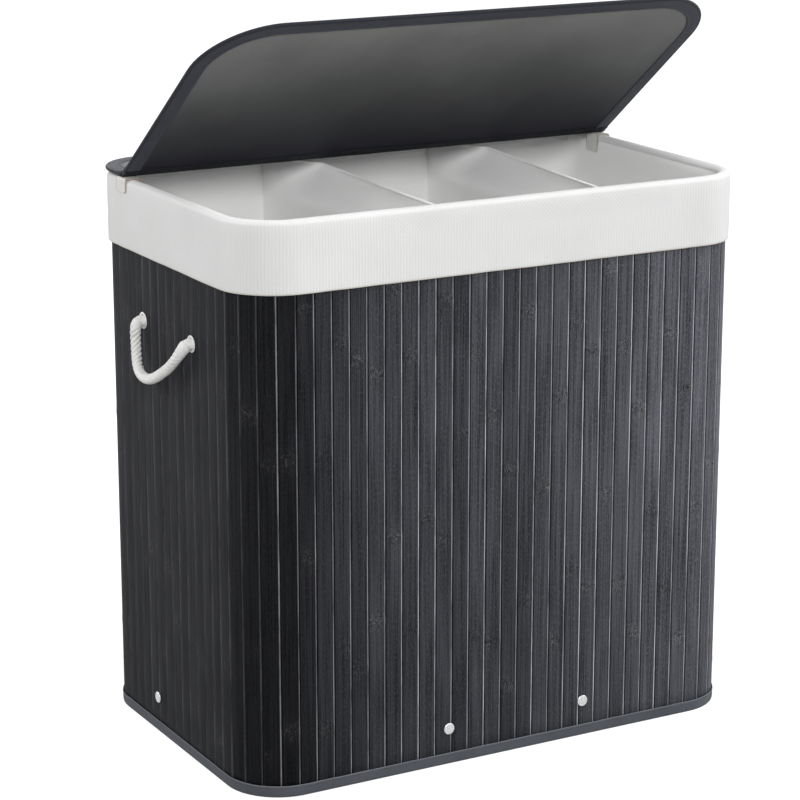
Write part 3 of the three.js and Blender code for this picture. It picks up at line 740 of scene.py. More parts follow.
def woven_tape(name, dark, light, pitch=0.0011):
    material, tree, shader = start_finish(name, 0.75, Sheen_Weight=0.04, Sheen_Roughness=0.5,
                                          Specular_IOR_Level=0.10)
    flat_place = on_cloth(tree)
    parts = put(tree, "SeparateXYZ", {0: flat_place})
    warp = calculate(tree, "SINE", times(tree, parts.outputs[0], 2 * math.pi / pitch))
    weft = calculate(tree, "SINE", times(tree, parts.outputs[1], 2 * math.pi / pitch))
    weave = times(tree, warp, weft)
    object_place = in_object(tree)
    cloudy = stretched_noise(tree, object_place, 22, 4.0, 0.6)
    fine = stretched_noise(tree, object_place, 900, 2.0)
    shade = weighted(tree, cloudy, 0.6, fine, 0.4)
    dyed = blend_colours(tree, remap(tree, shade, 0.3, 0.7), dark, light)
    hollows = remap(tree, weave, -1.0, 0.0, 0.35, 0.0)
    threads = blend_colours(tree, hollows, dyed, scaled(dark, 0.55))
    # Painted light carried by the mesh: above nothing a paler painted highlight, below nothing a darker
    # painted shade.
    painted_light_and_shade = carried(tree, "painted_light_and_shade")
    tape_painted_highlight = blend_colours(tree, remap(tree, painted_light_and_shade, 0.0, 1.0, 0.0, 0.8), threads,
                          tuple(min(1.0, c * 2.2 + 0.05) for c in light))
    tape_painted_fold_shade = blend_colours(tree, remap(tree, painted_light_and_shade, 0.0, -1.0), tape_painted_highlight, scaled(dark, 0.25))
    paint(tree, shader, tape_painted_fold_shade, roughness=remap(tree, weave, -1.0, 1.0, 0.80, 0.62))
    raise_surface(tree, shader, times_plus(tree, fine, 0.5, weave), 0.00012, 0.6)
    return material


base_tape = woven_tape("base_tape_webbing", (0.078, 0.084, 0.098), (0.112, 0.119, 0.138))
lid_tape = woven_tape("lid_tape_webbing", (0.048, 0.051, 0.066), (0.074, 0.078, 0.096))
backing_cloth = woven_tape("mat_backing_cloth", (0.012, 0.012, 0.013), (0.028, 0.028, 0.030), 0.0016)

# %% Backing cloth of the mat
BACKING_OUT, BACKING_IN, BACKING_FOOT, BACKING_TOP = -0.00325, -0.0039, 0.0012, 0.5978
backing_section = [(BACKING_OUT, BACKING_FOOT), (BACKING_OUT, BACKING_TOP), (BACKING_IN, BACKING_TOP),
                   (BACKING_IN, BACKING_FOOT)]
backing = face_outwards(wall_hoop("mat_backing", backing_section, backing_cloth))
place_on(backing, "root", "bamboo", "slat_mat")

# %% [markdown]
# The tape at the foot is folded in half over the slats' ends and sewn through. Its fold on the floor is
# rounded, its outer face is pressed a little hollow along the seam, and its cut edge is turned in, so the
# upper edge is a thin rounded roll.

# %% Tape at the foot
TAPE_OUT = 0.0010
SEAM_HEIGHT = 0.0108
TAPE_LOOSE_ROWS = 6
tape_section = [
    (0.0006, 0.0124), (0.00075, 0.0128), (0.0010, 0.0127), (TAPE_OUT + 0.00012, 0.0121),
    (TAPE_OUT - 0.00006, SEAM_HEIGHT), (TAPE_OUT - 0.00002, 0.0090), (TAPE_OUT + 0.00005, 0.0060),
    (TAPE_OUT, 0.0030), (0.0007, 0.0012), (0.0001, 0.0003), (-0.0012, 0.0), (-0.0034, 0.0),
    (-0.0047, 0.0003), (-0.0053, 0.0012), (-0.0056, 0.0030), (-0.0056, 0.0124), (-0.0054, 0.0128),
    (-0.0051, 0.0124), (-0.00515, 0.0030), (-0.0046, 0.0010), (-0.0034, 0.0006), (-0.0012, 0.0006),
    (-0.0002, 0.0010), (0.0003, 0.0020), (0.00045, 0.0060)]


def tape_change(row, distance):
    if row >= TAPE_LOOSE_ROWS:
        return 0.0, 0.0
    return (ripple(distance, (0.4, 2.1, 4.0), (41, 67, 95), 0.00007),
            ripple(distance, (1.1, 3.3), (37, 59), 0.00012))


foot_tape = face_outwards(wall_hoop("foot_tape", tape_section, base_tape, change=tape_change))
# Painted highlight: the upper roll of the foot tape is painted paler where it faces the light.
highlight_rows = [0.35 if 0 < row < 4 else 0.0 for row in range(len(tape_section))]
carry(foot_tape, "painted_light_and_shade", np.repeat(highlight_rows, HOOP_SPOTS))
place_on(foot_tape, "root", "binding_tape", "base_binding")

# %% [markdown]
# A row of stitches is many small rounded threads. Each is a short tube with tapered ends that dips into the
# cloth, and the whole row is one mesh. The same helper sews the foot tape and the lid.

# %% Stitches
STITCH_RINGS = [(-0.5, 0.25, -1.0), (-0.36, 0.8, 0.0), (0.0, 1.0, 0.45), (0.36, 0.8, 0.0), (0.5, 0.25, -1.0)]
STITCH_SIDES = 6
STITCH_LIFT = 0.0001
SEAM_SPOTS = 900


def stitch_row(name, line, outwards, material, pitch=0.0036, length=0.0026, radius=0.00028):
    """line and outwards are points and directions at close spacing along the seam."""
    run = run_along(line)

    def at_run(values, at):
        return np.array([np.interp(at, run, values[:, k]) for k in range(3)])

    points, faces = [], []
    for middle in np.arange(pitch / 2, run[-1] - pitch / 2, pitch):
        faces += tube_faces(len(points), len(STITCH_RINGS), STITCH_SIDES)
        for share, size, rise in STITCH_RINGS:
            at = middle + share * length
            centre = at_run(line, at)
            ahead = at_run(line, at + 0.0005) - centre
            ahead /= np.linalg.norm(ahead) + 1e-12
            out = at_run(outwards, at)
            out /= np.linalg.norm(out)
            side = np.cross(ahead, out)
            for k in range(STITCH_SIDES):
                angle = math.pi * k / 3
                points.append(centre + out * (STITCH_LIFT + rise * radius + math.sin(angle) * radius * size)
                              + side * math.cos(angle) * radius * size)
    return new_piece(name, points, faces, material)


def thread_finish(name, roughness, sheen, scales, low, high, depth):
    material, tree, shader = start_finish(name, roughness, Sheen_Weight=sheen)
    lay = stretched_noise(tree, in_object(tree), scales, 2.0)
    paint(tree, shader, blend_colours(tree, lay, low, high))
    raise_surface(tree, shader, lay, depth, 0.6)
    return material


THREAD = (0.05, 0.051, 0.056)
dark_thread = thread_finish("dark_thread", 0.6, 0.2, 2600, scaled(THREAD, 0.7), THREAD, 0.00008)


def wall_seam(name, offset, height, material):
    line, outwards, _ = round_line(*WALL_SIZE, SEAM_SPOTS)
    line, outwards = np.vstack([line, line[:1]]), np.vstack([outwards, outwards[:1]])
    points = np.column_stack([line + outwards * offset, np.full(len(line), height)])
    return stitch_row(name, points, np.column_stack([outwards, np.zeros(len(line))]), material)


foot_seam = place_on(wall_seam("foot_tape_seam", TAPE_OUT, SEAM_HEIGHT, dark_thread), "root", "binding_tape")
stitch_faces = (len(STITCH_RINGS) - 1) * STITCH_SIDES + 2
print("stitches in the foot tape", len(foot_seam.data.polygons) // stitch_faces)

# %% [markdown]
# The liner is white cotton. Its cuff is a twill with fine upright ribs, which turn to a crossed hatch high
# on the front and fade out on the left end and inside the rim. The finish has to work for cuff and bag:
# ribs as waves in the cloth's own measures, slubs as stretched noise in the two thread directions, a faint
# warm and cool mottling, and a bump for each. The cuff's lower edge is tinted a warm beige.

# %% Finish of the white cloth
def blend_values(tree, share, first, second):
    return put(tree, "Mix", {0: share, 2: first, 3: second}, data_type="FLOAT").outputs[0]


def white_cotton(name, low, high, rib_pitch, rib_depth, contrast, cuff=False):
    material, tree, shader = start_finish(name, 0.9, Sheen_Weight=0.15, Sheen_Roughness=0.6,
                                          Specular_IOR_Level=0.25)
    flat_place = on_cloth(tree)
    parts = put(tree, "SeparateXYZ", {0: flat_place})
    warped = stretched_noise(tree, flat_place, (9, 9, 1), 2.0)

    def ribs(slant, pitch):
        slanted = times_plus(tree, parts.outputs[1], slant, parts.outputs[0])
        wavering = times_plus(tree, warped, pitch * 0.9, slanted)
        wave = calculate(tree, "SINE", times(tree, wavering, 2 * math.pi / pitch))
        return remap(tree, wave, -1.0, 1.0)

    upright = ribs(0.0, rib_pitch)
    crossed = times(tree, ribs(1.0, rib_pitch * 1.3), ribs(-1.0, rib_pitch * 1.3))
    hatched = remap(tree, stretched_noise(tree, flat_place, (5, 9, 1), 1.0), 0.40, 0.52)
    if cuff:
        high_up = remap(tree, parts.outputs[1], 0.036, 0.052)
        past_corner = remap(tree, parts.outputs[0], 0.72, 0.82)
        hatched = times(tree, hatched, times(tree, high_up, past_corner))
    rib = blend_values(tree, hatched, upright, crossed)
    if cuff:
        towards_corner = remap(tree, parts.outputs[0], 0.585, 0.640, 0.12, 1.0)
        outside = remap(tree, parts.outputs[1], 0.078, 0.086, 1.0, 0.0)
        shown = times(tree, towards_corner, outside)
        rib = blend_values(tree, shown, 0.6, rib)
    slub_up = stretched_noise(tree, flat_place, (1500, 60, 1), 2.0)
    slub_along = stretched_noise(tree, flat_place, (60, 1500, 1), 2.0)
    slub = weighted(tree, slub_up, 0.5, slub_along, 0.5)
    object_place = in_object(tree)
    cloudy = stretched_noise(tree, object_place, 14, 3.0)
    base = blend_colours(tree, remap(tree, cloudy, 0.35, 0.65), low, high)
    ribbed = blend_colours(tree, remap(tree, rib, 0.0, 0.5, contrast, 0.0), base, scaled(low, 0.78))
    thin_spots = remap(tree, slub, 0.38, 0.5, contrast * 0.8, 0.0)
    woven = blend_colours(tree, thin_spots, ribbed, scaled(low, 0.85))
    if cuff:
        warm_foot_line = remap(tree, parts.outputs[1], 0.0021, 0.0028, 0.7, 0.0)
        woven = blend_colours(tree, warm_foot_line, woven, (0.60, 0.56, 0.49))
    paint(tree, shader, woven)
    height = weighted(tree, rib, 1.0, slub, 0.8)
    raise_surface(tree, shader, height, rib_depth, 0.8)
    return material


cuff_twill = white_cotton("cuff_twill", (0.718, 0.718, 0.713), (0.748, 0.748, 0.744), 0.0034, 0.00015, 0.26,
                          cuff=True)
# Painted light: the hem and the bag are painted paler than the cuff, to make up for the shade inside the bag;
# the hem's extra paleness is a painted highlight.
hem_cotton_painted_highlight = white_cotton("hem_cotton_painted_highlight", (0.935, 0.935, 0.930), (0.950, 0.950, 0.947), 0.0020, 0.00006, 0.04)
bag_cotton_painted_light = white_cotton("bag_cotton_painted_light", (0.908, 0.911, 0.900), (0.928, 0.930, 0.922), 0.0018, 0.00005, 0.05)

# %% [markdown]
# The cuff hangs over the outside of the wall, rises in a soft roll over the rim and turns down inside. It
# is one section carried round the wall, built as a closed skin. Long shallow waves push it in and out by a
# fraction of a millimetre, and inside the rim it leans into the bag in a fat roll, except where the lid's
# clips press on it.

# %% Cuff
CUFF_FOOT = 0.530
RIM_ROLL = 0.599
CUFF_OUT, CUFF_IN = 0.0025, 0.0013
BAG_FACE, BAG_BACK = -0.01043, -0.00923
ROLL_HALF, ROLL_MIDDLE = 0.00646, -0.00396
CUFF_TURN_FOOT = 0.573
ROLL_RISE, ROLL_RISE_INSIDE = 0.0052, 0.0038
SKIN_OUT, SKIN_IN = 0.0003, 0.0006
FAT_ROLL = 0.0060
LONG_WAVE, SHORT_WAVE, HEM_WAVE = 0.0005, 0.00018, 0.00022
FOLD_Y = 0.102
CLIP_PRESS, PRESS_FADE = 0.014, 0.03


def arch(reach, rise, angles):
    """Places of the section on the roll over the rim."""
    return [(ROLL_MIDDLE + reach * math.cos(a), RIM_ROLL + rise * math.sin(a)) for a in angles]


def cuff_section():
    """The section, the number of its rows below the roll, and the number up to the roll's inner side."""
    outer = [(0.0016, CUFF_FOOT + 0.0003), (0.0021, CUFF_FOOT), (0.0026, CUFF_FOOT + 0.0003),
             (0.0028, CUFF_FOOT + 0.0010), (0.00285, CUFF_FOOT + 0.0035), (0.0028, CUFF_FOOT + 0.0085)]
    outer += [(CUFF_OUT + SKIN_OUT, z) for z in np.linspace(CUFF_FOOT + 0.014, RIM_ROLL - 0.006, 12)]
    roll = arch(ROLL_HALF + SKIN_OUT, ROLL_RISE, np.linspace(0, math.pi, 15))
    inner = [(BAG_FACE + SKIN_IN, z) for z in (0.594, 0.588, 0.5848, 0.577)]
    inner += [(BAG_FACE + 0.0004, CUFF_TURN_FOOT + 0.0004), (BAG_FACE + SKIN_IN, CUFF_TURN_FOOT),
              (BAG_BACK, CUFF_TURN_FOOT + 0.0004)]
    back = [(BAG_BACK, z) for z in (0.577, 0.588, 0.594)]
    under = arch(ROLL_HALF - 0.0012, ROLL_RISE_INSIDE, np.linspace(math.pi, 0, 13))
    down = [(CUFF_IN, z) for z in (0.590, 0.575, 0.560, 0.545, CUFF_FOOT + 0.0006)]
    return outer + roll + inner + back + under + down, len(outer), len(outer) + len(roll)


section, cuff_rows, roll_rows = cuff_section()
random = np.random.RandomState(3)
cuff_seeds = random.uniform(0, ONE_TURN, 12)


def leans_in(row):
    """How much of the fat roll a row of the section takes, from none at the crest to all inside."""
    if row < roll_rows:
        return float(smooth_share(((row - cuff_rows) / (roll_rows - cuff_rows - 1) - 0.42) / 0.58))
    return {0: 0.97, 1: 0.86}.get(row - roll_rows, 0.0)


def cuff_change(row, distance):
    long_wave = ripple(distance, cuff_seeds[:4], (7, 12, 17, 23), LONG_WAVE)
    short_wave = ripple(distance, cuff_seeds[4:8], (38, 47, 61, 73), SHORT_WAVE)
    hem = ripple(distance, cuff_seeds[8:], (9, 14, 29, 43), HEM_WAVE)
    if row < cuff_rows:
        low = 1 - row / cuff_rows
        return max(0.0, long_wave * 0.6 + short_wave * (0.35 + 0.5 * low) + 0.0003), hem * low
    x, y = wall_place(distance)[0]
    near_clip = 1 - smooth_share((abs(y - FOLD_Y) - CLIP_PRESS) / PRESS_FADE)
    pressed = near_clip if abs(x) > 0.27 else 0.0
    fat = float(np.interp(x, (-0.29, -0.24, 0.15, 0.27), (0.4, 1.0, 1.0, 0.0))) if y < 0.15 else 0.4
    inwards = -(FAT_ROLL + 2.0 * short_wave) * fat * leans_in(row) * (1 - pressed)
    crest = math.sin(math.pi * (row - cuff_rows) / (roll_rows - cuff_rows - 1)) if row < roll_rows else 0.0
    return inwards + (short_wave * 0.5 * (1 - crest) if row < roll_rows else 0.0), long_wave * 0.5 * crest


cuff = face_outwards(wall_hoop("liner_cuff_cloth", section, cuff_twill, count=520, change=cuff_change))
place_on(cuff, "root", "white_cloth", "liner_cuff")
print("cuff from", CUFF_FOOT, "to", round(RIM_ROLL + ROLL_RISE, 4), "m")

# %% [markdown]
# The bag hangs from the cuff. Near the rim it follows the wall, and below it draws in, more at the two
# ends, where it clears the knots of the ropes. It is a loft of rings from rim to foot, with soft upright
# folds that deepen downwards and slack corners. Pinches mark the seams that hold the partitions.

# %% Bag wall
BAG_FOOT = 0.0058
PARTITIONS = {"left": (-0.078, -0.100), "right": (0.119, 0.112)}
PARTITION_LEAN = {"left": 0.019, "right": 0.037}
BEND_SHARE = 0.78
DRAW_TOP, DRAW_FOOT = 0.5727, 0.494
BAG_END, BAG_SIDE, BAG_CORNER = (-BAG_BACK, 0.0298), (-BAG_BACK, 0.0123), (0.05077, 0.036)
BAG_TOP, BAG_SPOTS = 0.5990, 440
BIG_FOLD, SMALL_FOLD, PINCH_HALF = 0.0034, 0.0004, 0.004
COVER_STEP, COVER_RAMP = 0.0015, 0.0075
BAG_SKIN, COTTON_THICK = 0.0006, 0.0010


def between(first, last, share):
    return first + (last - first) * share


def partition_x(label, share, z):
    """Where a partition hangs, share going from 0 at the front to 1 at the back. Low down it is straight.
    Its slack top edge lies askew to the right, and bends back to the rear seam under the lid."""
    front, back = PARTITIONS[label]
    bend = smooth_share((share - BEND_SHARE) / (1 - BEND_SHARE))
    askew = between(front + PARTITION_LEAN[label] * share, back, bend)
    return between(between(front, back, share), askew, smooth_share((z - 0.560) / 0.040))


def before_cuff(z):
    """How far the bag stands in front of the cuff's inner turn, whose roll hides its upper edge."""
    return COVER_STEP * smooth_share((BAG_TOP - z) / COVER_RAMP) * smooth_share((z - 0.50) / 0.06)


def drawn_in(z):
    """How far the bag has eased from the wall's shape to its own, from 0 at the mouth to 1 low down."""
    return smooth_share((DRAW_TOP - z) / (DRAW_TOP - DRAW_FOOT))


def thicken(piece, thickness):
    layer = piece.modifiers.new("thickness", "SOLIDIFY")
    layer.thickness = thickness
    layer.offset = 0
    return piece


def bag_wall():
    random = np.random.RandomState(11)
    seeds = random.uniform(0, ONE_TURN, 8)
    heights = np.r_[np.linspace(BAG_TOP, 0.5956, 6), 0.5935, 0.590, np.linspace(0.585, DRAW_FOOT, 14),
                    np.linspace(0.478, 0.03, 22), 0.016, BAG_FOOT]
    grid, flat = np.zeros((len(heights), BAG_SPOTS, 3)), []
    for i, z in enumerate(heights):
        end, side, radius = (between(*pair, drawn_in(z)) for pair in (BAG_END, BAG_SIDE, BAG_CORNER))
        half_x, half_y = HALF_WIDTH - end - BAG_SKIN, HALF_DEPTH - side - BAG_SKIN
        line, out, total = round_line(half_x, half_y, radius, BAG_SPOTS)
        slack = smooth_share((0.585 - z) / 0.20) * (0.35 + 0.65 * smooth_share(z / 0.08))
        turns = 2 * math.pi * np.arange(BAG_SPOTS) / BAG_SPOTS
        fold = sum(np.sin(w * turns + s + 1.1 * math.sin(z * 5 + s))
                   for w, s in zip((9, 14, 22, 31), seeds)) / 4
        fine = sum(np.sin(w * turns + s + 2.0 * z * w / 9) for w, s in zip((57, 83), seeds[4:])) / 2
        inwards = slack * (BIG_FOLD * (0.5 + 0.5 * fold) + SMALL_FOLD * fine)
        inwards += before_cuff(z)
        for seams in PARTITIONS.values():
            for sign, place in zip((-1, 1), seams):
                near = np.exp(-((line[:, 0] - place) / PINCH_HALF) ** 2) * (np.sign(line[:, 1]) == sign)
                inwards = inwards * (1 - 0.9 * near) + before_cuff(z) * 0.9 * near
        grid[i, :, :2] = line - out * inwards[:, None]
        grid[i, :, 2] = z
        flat.append([(u, z) for u in np.linspace(0, total, BAG_SPOTS + 1)])
    return grid_piece("liner_bag_wall", grid, bag_cotton_painted_light, round_columns=True, flat=flat), grid


bag, bag_grid = bag_wall()
thicken(bag, COTTON_THICK)
place_on(bag, "root", "white_cloth", "liner_wall")
print("bag mouth", np.round(np.ptp(bag_grid[0], axis=0)[:2], 3), "m")

# %% [markdown]
# The bag's bottom is a separate panel sewn to the wall. It sags a little between its seams and has a few
# long creases. It is a grid clipped to the rounded outline, with columns that close in towards the corners.

# %% Bag bottom
def rounded_panel(half_x, half_y, radius, rows, columns):
    grid = np.zeros((rows, columns, 3))
    for i in range(rows):
        y = -half_y * math.cos(math.pi * i / (rows - 1))
        over = max(0.0, abs(y) - (half_y - radius))
        reach = rounded_reach(half_x, radius, over)
        grid[i, :, 0] = np.linspace(-reach, reach, columns)
        grid[i, :, 1] = y
    return grid


BOTTOM_X, BOTTOM_Y, BOTTOM_CORNER = 0.2690, 0.1755, 0.034
BOTTOM_HEIGHT, CREASE_RISE, SEAM_FADE = 0.0052, 0.0008, 0.03
bottom_grid = rounded_panel(BOTTOM_X, BOTTOM_Y, BOTTOM_CORNER, 46, 80)
x, y = bottom_grid[..., 0], bottom_grid[..., 1]
rim_fade = smooth_share((BOTTOM_X - np.abs(x)) / SEAM_FADE) * smooth_share((BOTTOM_Y - np.abs(y)) / SEAM_FADE)
creases = np.sin(23 * x + 14 * y + 1.0) * np.sin(31 * y - 9 * x) + 0.5 * np.sin(57 * x + 2.0) * np.sin(19 * y)
bottom_grid[..., 2] = BOTTOM_HEIGHT + CREASE_RISE * rim_fade * (1 + creases)
bottom = grid_piece("liner_bag_bottom", bottom_grid, bag_cotton_painted_light, flat=bottom_grid[..., :2])
thicken(bottom, COTTON_THICK)
place_on(bottom, "root", "white_cloth", "liner_bottom")

# %% [markdown]
# Two partitions divide the bag. Each is a single cloth, sewn to the front and back walls, with a rolled hem
# along its top edge that catches the light. The cloth is wider than the bag is deep, so its top edge hangs
# askew to the right and bends back to its rear seam. A grid follows the walls at both ends, and the hem is
# a thin tube.

# %% Partitions
HEM_RADIUS, HEM_FLAT, HEM_SIDES, HEM_DROP = 0.0016, 0.0082, 14, 0.0006
SEAM_CLEAR = 0.0016
BIG_SWAY, SMALL_SWAY, EDGE_DIP = 0.0030, 0.0011, 0.0010


def wall_reach(z):
    return HALF_DEPTH - between(*BAG_SIDE, drawn_in(z)) - SEAM_CLEAR - before_cuff(z)


def partition(label, seed):
    name = "liner_partition_cloth_" + label
    random = np.random.RandomState(seed)
    phases = random.uniform(0, ONE_TURN, 6)
    heights = np.r_[np.linspace(BAG_FOOT, 0.55, 25), np.linspace(0.556, 0.6005, 13)]
    columns = 72
    grid, flat = np.zeros((len(heights), columns, 3)), []
    for i, z in enumerate(heights):
        depth = wall_reach(z)
        across = 1 - 2 * np.linspace(1, 0, columns) ** 1.4
        held = 1 - across ** 2
        taut = smooth_share((0.601 - z) / 0.15)
        sway = BIG_SWAY * held * np.sin(7 * across + phases[0] + 6 * z)
        sway += SMALL_SWAY * held * np.sin(15 * across + phases[1] - 9 * z)
        grid[i, :, 0] = partition_x(label, (across + 1) / 2, z) + sway * taut
        grid[i, :, 1] = across * depth
        grid[i, :, 2] = z - EDGE_DIP * held * smooth_share((z - 0.4) / 0.2)
        flat.append([(a * depth, z) for a in across])
    cloth = thicken(grid_piece(name, grid, bag_cotton_painted_light, flat=flat), COTTON_THICK)
    top_edge = np.vstack([grid[-1][:-1:3], grid[-1][-1:]]) - (0, 0, HEM_DROP)
    hem_line, hem_length = smooth_line(top_edge, 0.004)
    frames = tube_frames(hem_line)
    turn = np.linspace(0, 2 * math.pi, HEM_SIDES, endpoint=False)
    tube = np.array([p + np.cos(turn)[:, None] * a * HEM_RADIUS + np.sin(turn)[:, None] * b * HEM_RADIUS
                     for p, (a, b) in zip(hem_line, frames)])
    flat = flat_grid(np.linspace(0, HEM_FLAT, HEM_SIDES + 1), np.linspace(0, hem_length, len(hem_line)))
    hem = grid_piece(name + "_hem", tube, hem_cotton_painted_highlight, round_columns=True, caps=True, flat=flat)
    return cloth, face_outwards(hem)


partitions = []
for label, seed in (("left", 5), ("right", 9)):
    partitions.append(partition(label, seed))
    for piece in partitions[-1]:
        place_on(piece, "root", "white_cloth", "liner_partition_" + label)
print("partitions at", PARTITIONS)

# %% [markdown]
# The lid has two panels of the same make: a stiff board between a cover and a lining, bound by a tape round
# three edges. Both are built flat in their own measures: across, away from the fold, and up. The rear strip
# lies on the rim, and the front panel is turned up about the fold.

# %% Where the lid lies
LID_UNDER = 0.6061
LID_THICK, FOLD_RISE, SETBACK = 0.0044, 0.00035, 0.0016
LID_HALF = 0.303
RAISE = math.radians(37.5)
TAPE_WIDE, LID_CLOTH = 0.017, 0.00035
LINING_UP, COVER_UP = 0.00085, LID_THICK - 0.00080
LID_SEAM_INSET, LID_SEAM_OUT = 0.0024, 0.00008
FOLD_AXIS = np.array([0.0, FOLD_Y, LID_UNDER + LID_THICK + FOLD_RISE])
PANELS = {"rear": (0.090, 0.060), "front": (0.294, 0.080)}


def lid_point(panel, x, away, up):
    """World place of a point that lies x across, away from the fold and up from the underside."""
    if panel == "rear":
        return np.array([x, FOLD_Y + away, LID_UNDER + up])
    y, z = -away, up - LID_THICK - FOLD_RISE
    return FOLD_AXIS + np.array([x, y * math.cos(RAISE) + z * math.sin(RAISE),
                                 -y * math.sin(RAISE) + z * math.cos(RAISE)])


def lid_grid(panel, grid):
    """grid holds (x, away, up) triples."""
    return np.array([[lid_point(panel, *p) for p in row] for row in grid])


# %% [markdown]
# The cover on top is a dark felted cloth, the lining below a smooth dark one with a slight green cast. Both
# are matt with a soft sheen at low angles. Fine noise makes the fibres, and a larger one the uneven dye. The
# lining is painted darker and bluish towards the fold, as painted shade.

# %% Finishes of the lid's cloths
def felted_cloth(name, dark, light, roughness, sheen, fold_shade=1.0):
    material, tree, shader = start_finish(name, roughness, Sheen_Weight=sheen, Sheen_Roughness=0.45,
                                          Specular_IOR_Level=0.08)
    flat_place = on_cloth(tree)
    fibres = stretched_noise(tree, flat_place, (1400, 420, 1), 3.0, 0.6)
    cross_fibres = stretched_noise(tree, flat_place, (420, 1400, 1), 3.0, 0.6)
    uneven = stretched_noise(tree, flat_place, (9, 9, 1), 3.0)
    mixed = weighted(tree, fibres, 0.5, cross_fibres, 0.5)
    shade = weighted(tree, mixed, 0.55, uneven, 0.45)
    cloth = blend_colours(tree, remap(tree, shade, 0.36, 0.64), dark, light)
    # Painted shade: the lining is painted darker and bluish towards the fold, down to fold_shade of its
    # colour there.
    if fold_shade < 1:
        away = put(tree, "SeparateXYZ", {0: flat_place}).outputs[1]
        rise = calculate(tree, "POWER", remap(tree, away, 0.0, 0.27), 1.25)
        level = times_plus(tree, rise, 1 - fold_shade, fold_shade)
        bluish = times_plus(tree, rise, 1 - fold_shade * 1.45, fold_shade * 1.45)
        painted_fold_tint = put(tree, "CombineColor", {0: level, 1: level, 2: bluish})
        cloth = blend_colours(tree, 1.0, cloth, painted_fold_tint.outputs[0], "MULTIPLY")
    paint(tree, shader, cloth)
    raise_surface(tree, shader, mixed, 0.00012, 0.7)
    return material


cover_felt = felted_cloth("lid_cover_felt", (0.060, 0.062, 0.068), (0.105, 0.107, 0.114), 0.85, 0.2)
lining_cloth = felted_cloth("lid_lining_dark", (0.192, 0.196, 0.191), (0.296, 0.300, 0.292), 0.7, 0.0, 0.095)
# Painted shade: the lining's strip across the fold is painted as dark as the lining's painted shade at the
# fold.
hinge_lining_painted_shade = felted_cloth("lid_fold_lining_painted_shade", (0.012, 0.013, 0.014), (0.024, 0.025, 0.028), 0.7, 0.0)

# %% Panels of cloth
def panel_rows(length, radius, inset, rows, columns):
    """(x, away) of a panel's grid: full width from the fold, then closing in along the rounded corners."""
    half, end, corner = LID_HALF - inset, length - inset, radius - inset
    straight = np.linspace(SETBACK, end - corner, rows // 2, endpoint=False)
    curved = end - corner + corner * np.sin(np.linspace(0, math.pi / 2, rows - rows // 2))
    grid = []
    for away in np.r_[straight, curved]:
        over = max(0.0, away - (end - corner))
        reach = rounded_reach(half, corner, over)
        grid.append([(x, away) for x in np.linspace(-reach, reach, columns)])
    return np.array(grid)


def panel_cloth(name, panel, height, material, waves):
    length, radius = PANELS[panel]
    flat = panel_rows(length, radius, 0.0012, 44, 72)
    x, away = flat[..., 0], flat[..., 1]
    fade = smooth_share((LID_HALF - np.abs(x)) / 0.05) * smooth_share(away / 0.03)
    fade *= smooth_share((length - away) / 0.05)
    up = height + waves * fade * (np.sin(17 * x + 5 * away + 0.6) * np.sin(13 * away + 6 * x + 1.9)
                                  + 0.5 * np.sin(39 * x - 20 * away))
    grid = lid_grid(panel, np.dstack([x, away, up]))
    return thicken(grid_piece(name, grid, material, flat=flat), LID_CLOTH)


# %% [markdown]
# The tape that binds a panel is folded over its edge. Its section is a long thin U with a full rounded fold
# outside, and it is carried along the two sides, the far edge and the corners between. The fold is painted
# darker, as painted shade, and its upper edge is painted pale, as a painted highlight; a narrow dent beside
# it marks where the board inside ends. A seam runs near the turned edge of each lip.

# %% Binding of a panel
def edge_line(length, radius):
    """(x, away) round the free edges from fold to fold, with the direction outwards."""
    sides_run = length - radius - SETBACK
    side_spots = max(8, int(sides_run / 0.007))
    spots = [(LID_HALF, SETBACK + sides_run * t, 1, 0) for t in np.linspace(0, 1, side_spots, endpoint=False)]

    def add_corner(middle, start):
        for angle in np.linspace(start, start + math.pi / 2, 17, endpoint=False):
            nx, ny = math.cos(angle), math.sin(angle)
            spots.append((middle + radius * nx, length - radius + radius * ny, nx, ny))

    add_corner(LID_HALF - radius, 0)
    spots += [((LID_HALF - radius) * t, length, 0, 1) for t in np.linspace(1, -1, 90, endpoint=False)]
    add_corner(radius - LID_HALF, math.pi / 2)
    spots += [(-LID_HALF, SETBACK + sides_run * t, -1, 0) for t in np.linspace(1, 0, side_spots)]
    return np.array(spots)


def binding_section():
    """(inset from the edge, height, painted highlight above nothing and shade below) round the tape's skin:
    lower lip, fold, upper lip, inside.
    """
    half = LID_THICK / 2
    lip = [(TAPE_WIDE, 0.0, 0), (TAPE_WIDE - 0.0003, -0.00012, 0), (TAPE_WIDE - 0.0020, -0.00014, 0),
           (TAPE_WIDE - 0.0028, 0.0, 0), (0.010, -0.00004, 0), (0.0046, -0.00004, 0), (0.0034, 0.00010, 0),
           (0.0028, 0.00040, 0), (0.0022, 0.00020, -0.4)]
    skin = list(lip)
    # Painted shade darkens the fold and the lip row beside it, and a painted highlight pales the fold's upper
    # edge.
    for angle in np.linspace(-1.15, 1.15, 11):
        skin.append((half - half * 1.02 * math.cos(angle) - 0.0003, half + half * 1.02 * math.sin(angle),
                     0.25 if angle > 0.75 else -0.72))
    skin += [(inset, LID_THICK - up, painted_level) for inset, up, painted_level in reversed(lip)]
    skin += [(TAPE_WIDE - 0.0003, LID_THICK - 0.00045, 0), (0.006, LID_THICK - 0.00055, 0),
             (0.0015, half + 0.0008, 0), (0.0015, half - 0.0008, 0), (0.006, 0.00055, 0),
             (TAPE_WIDE - 0.0003, 0.00045, 0)]
    return np.array(skin)


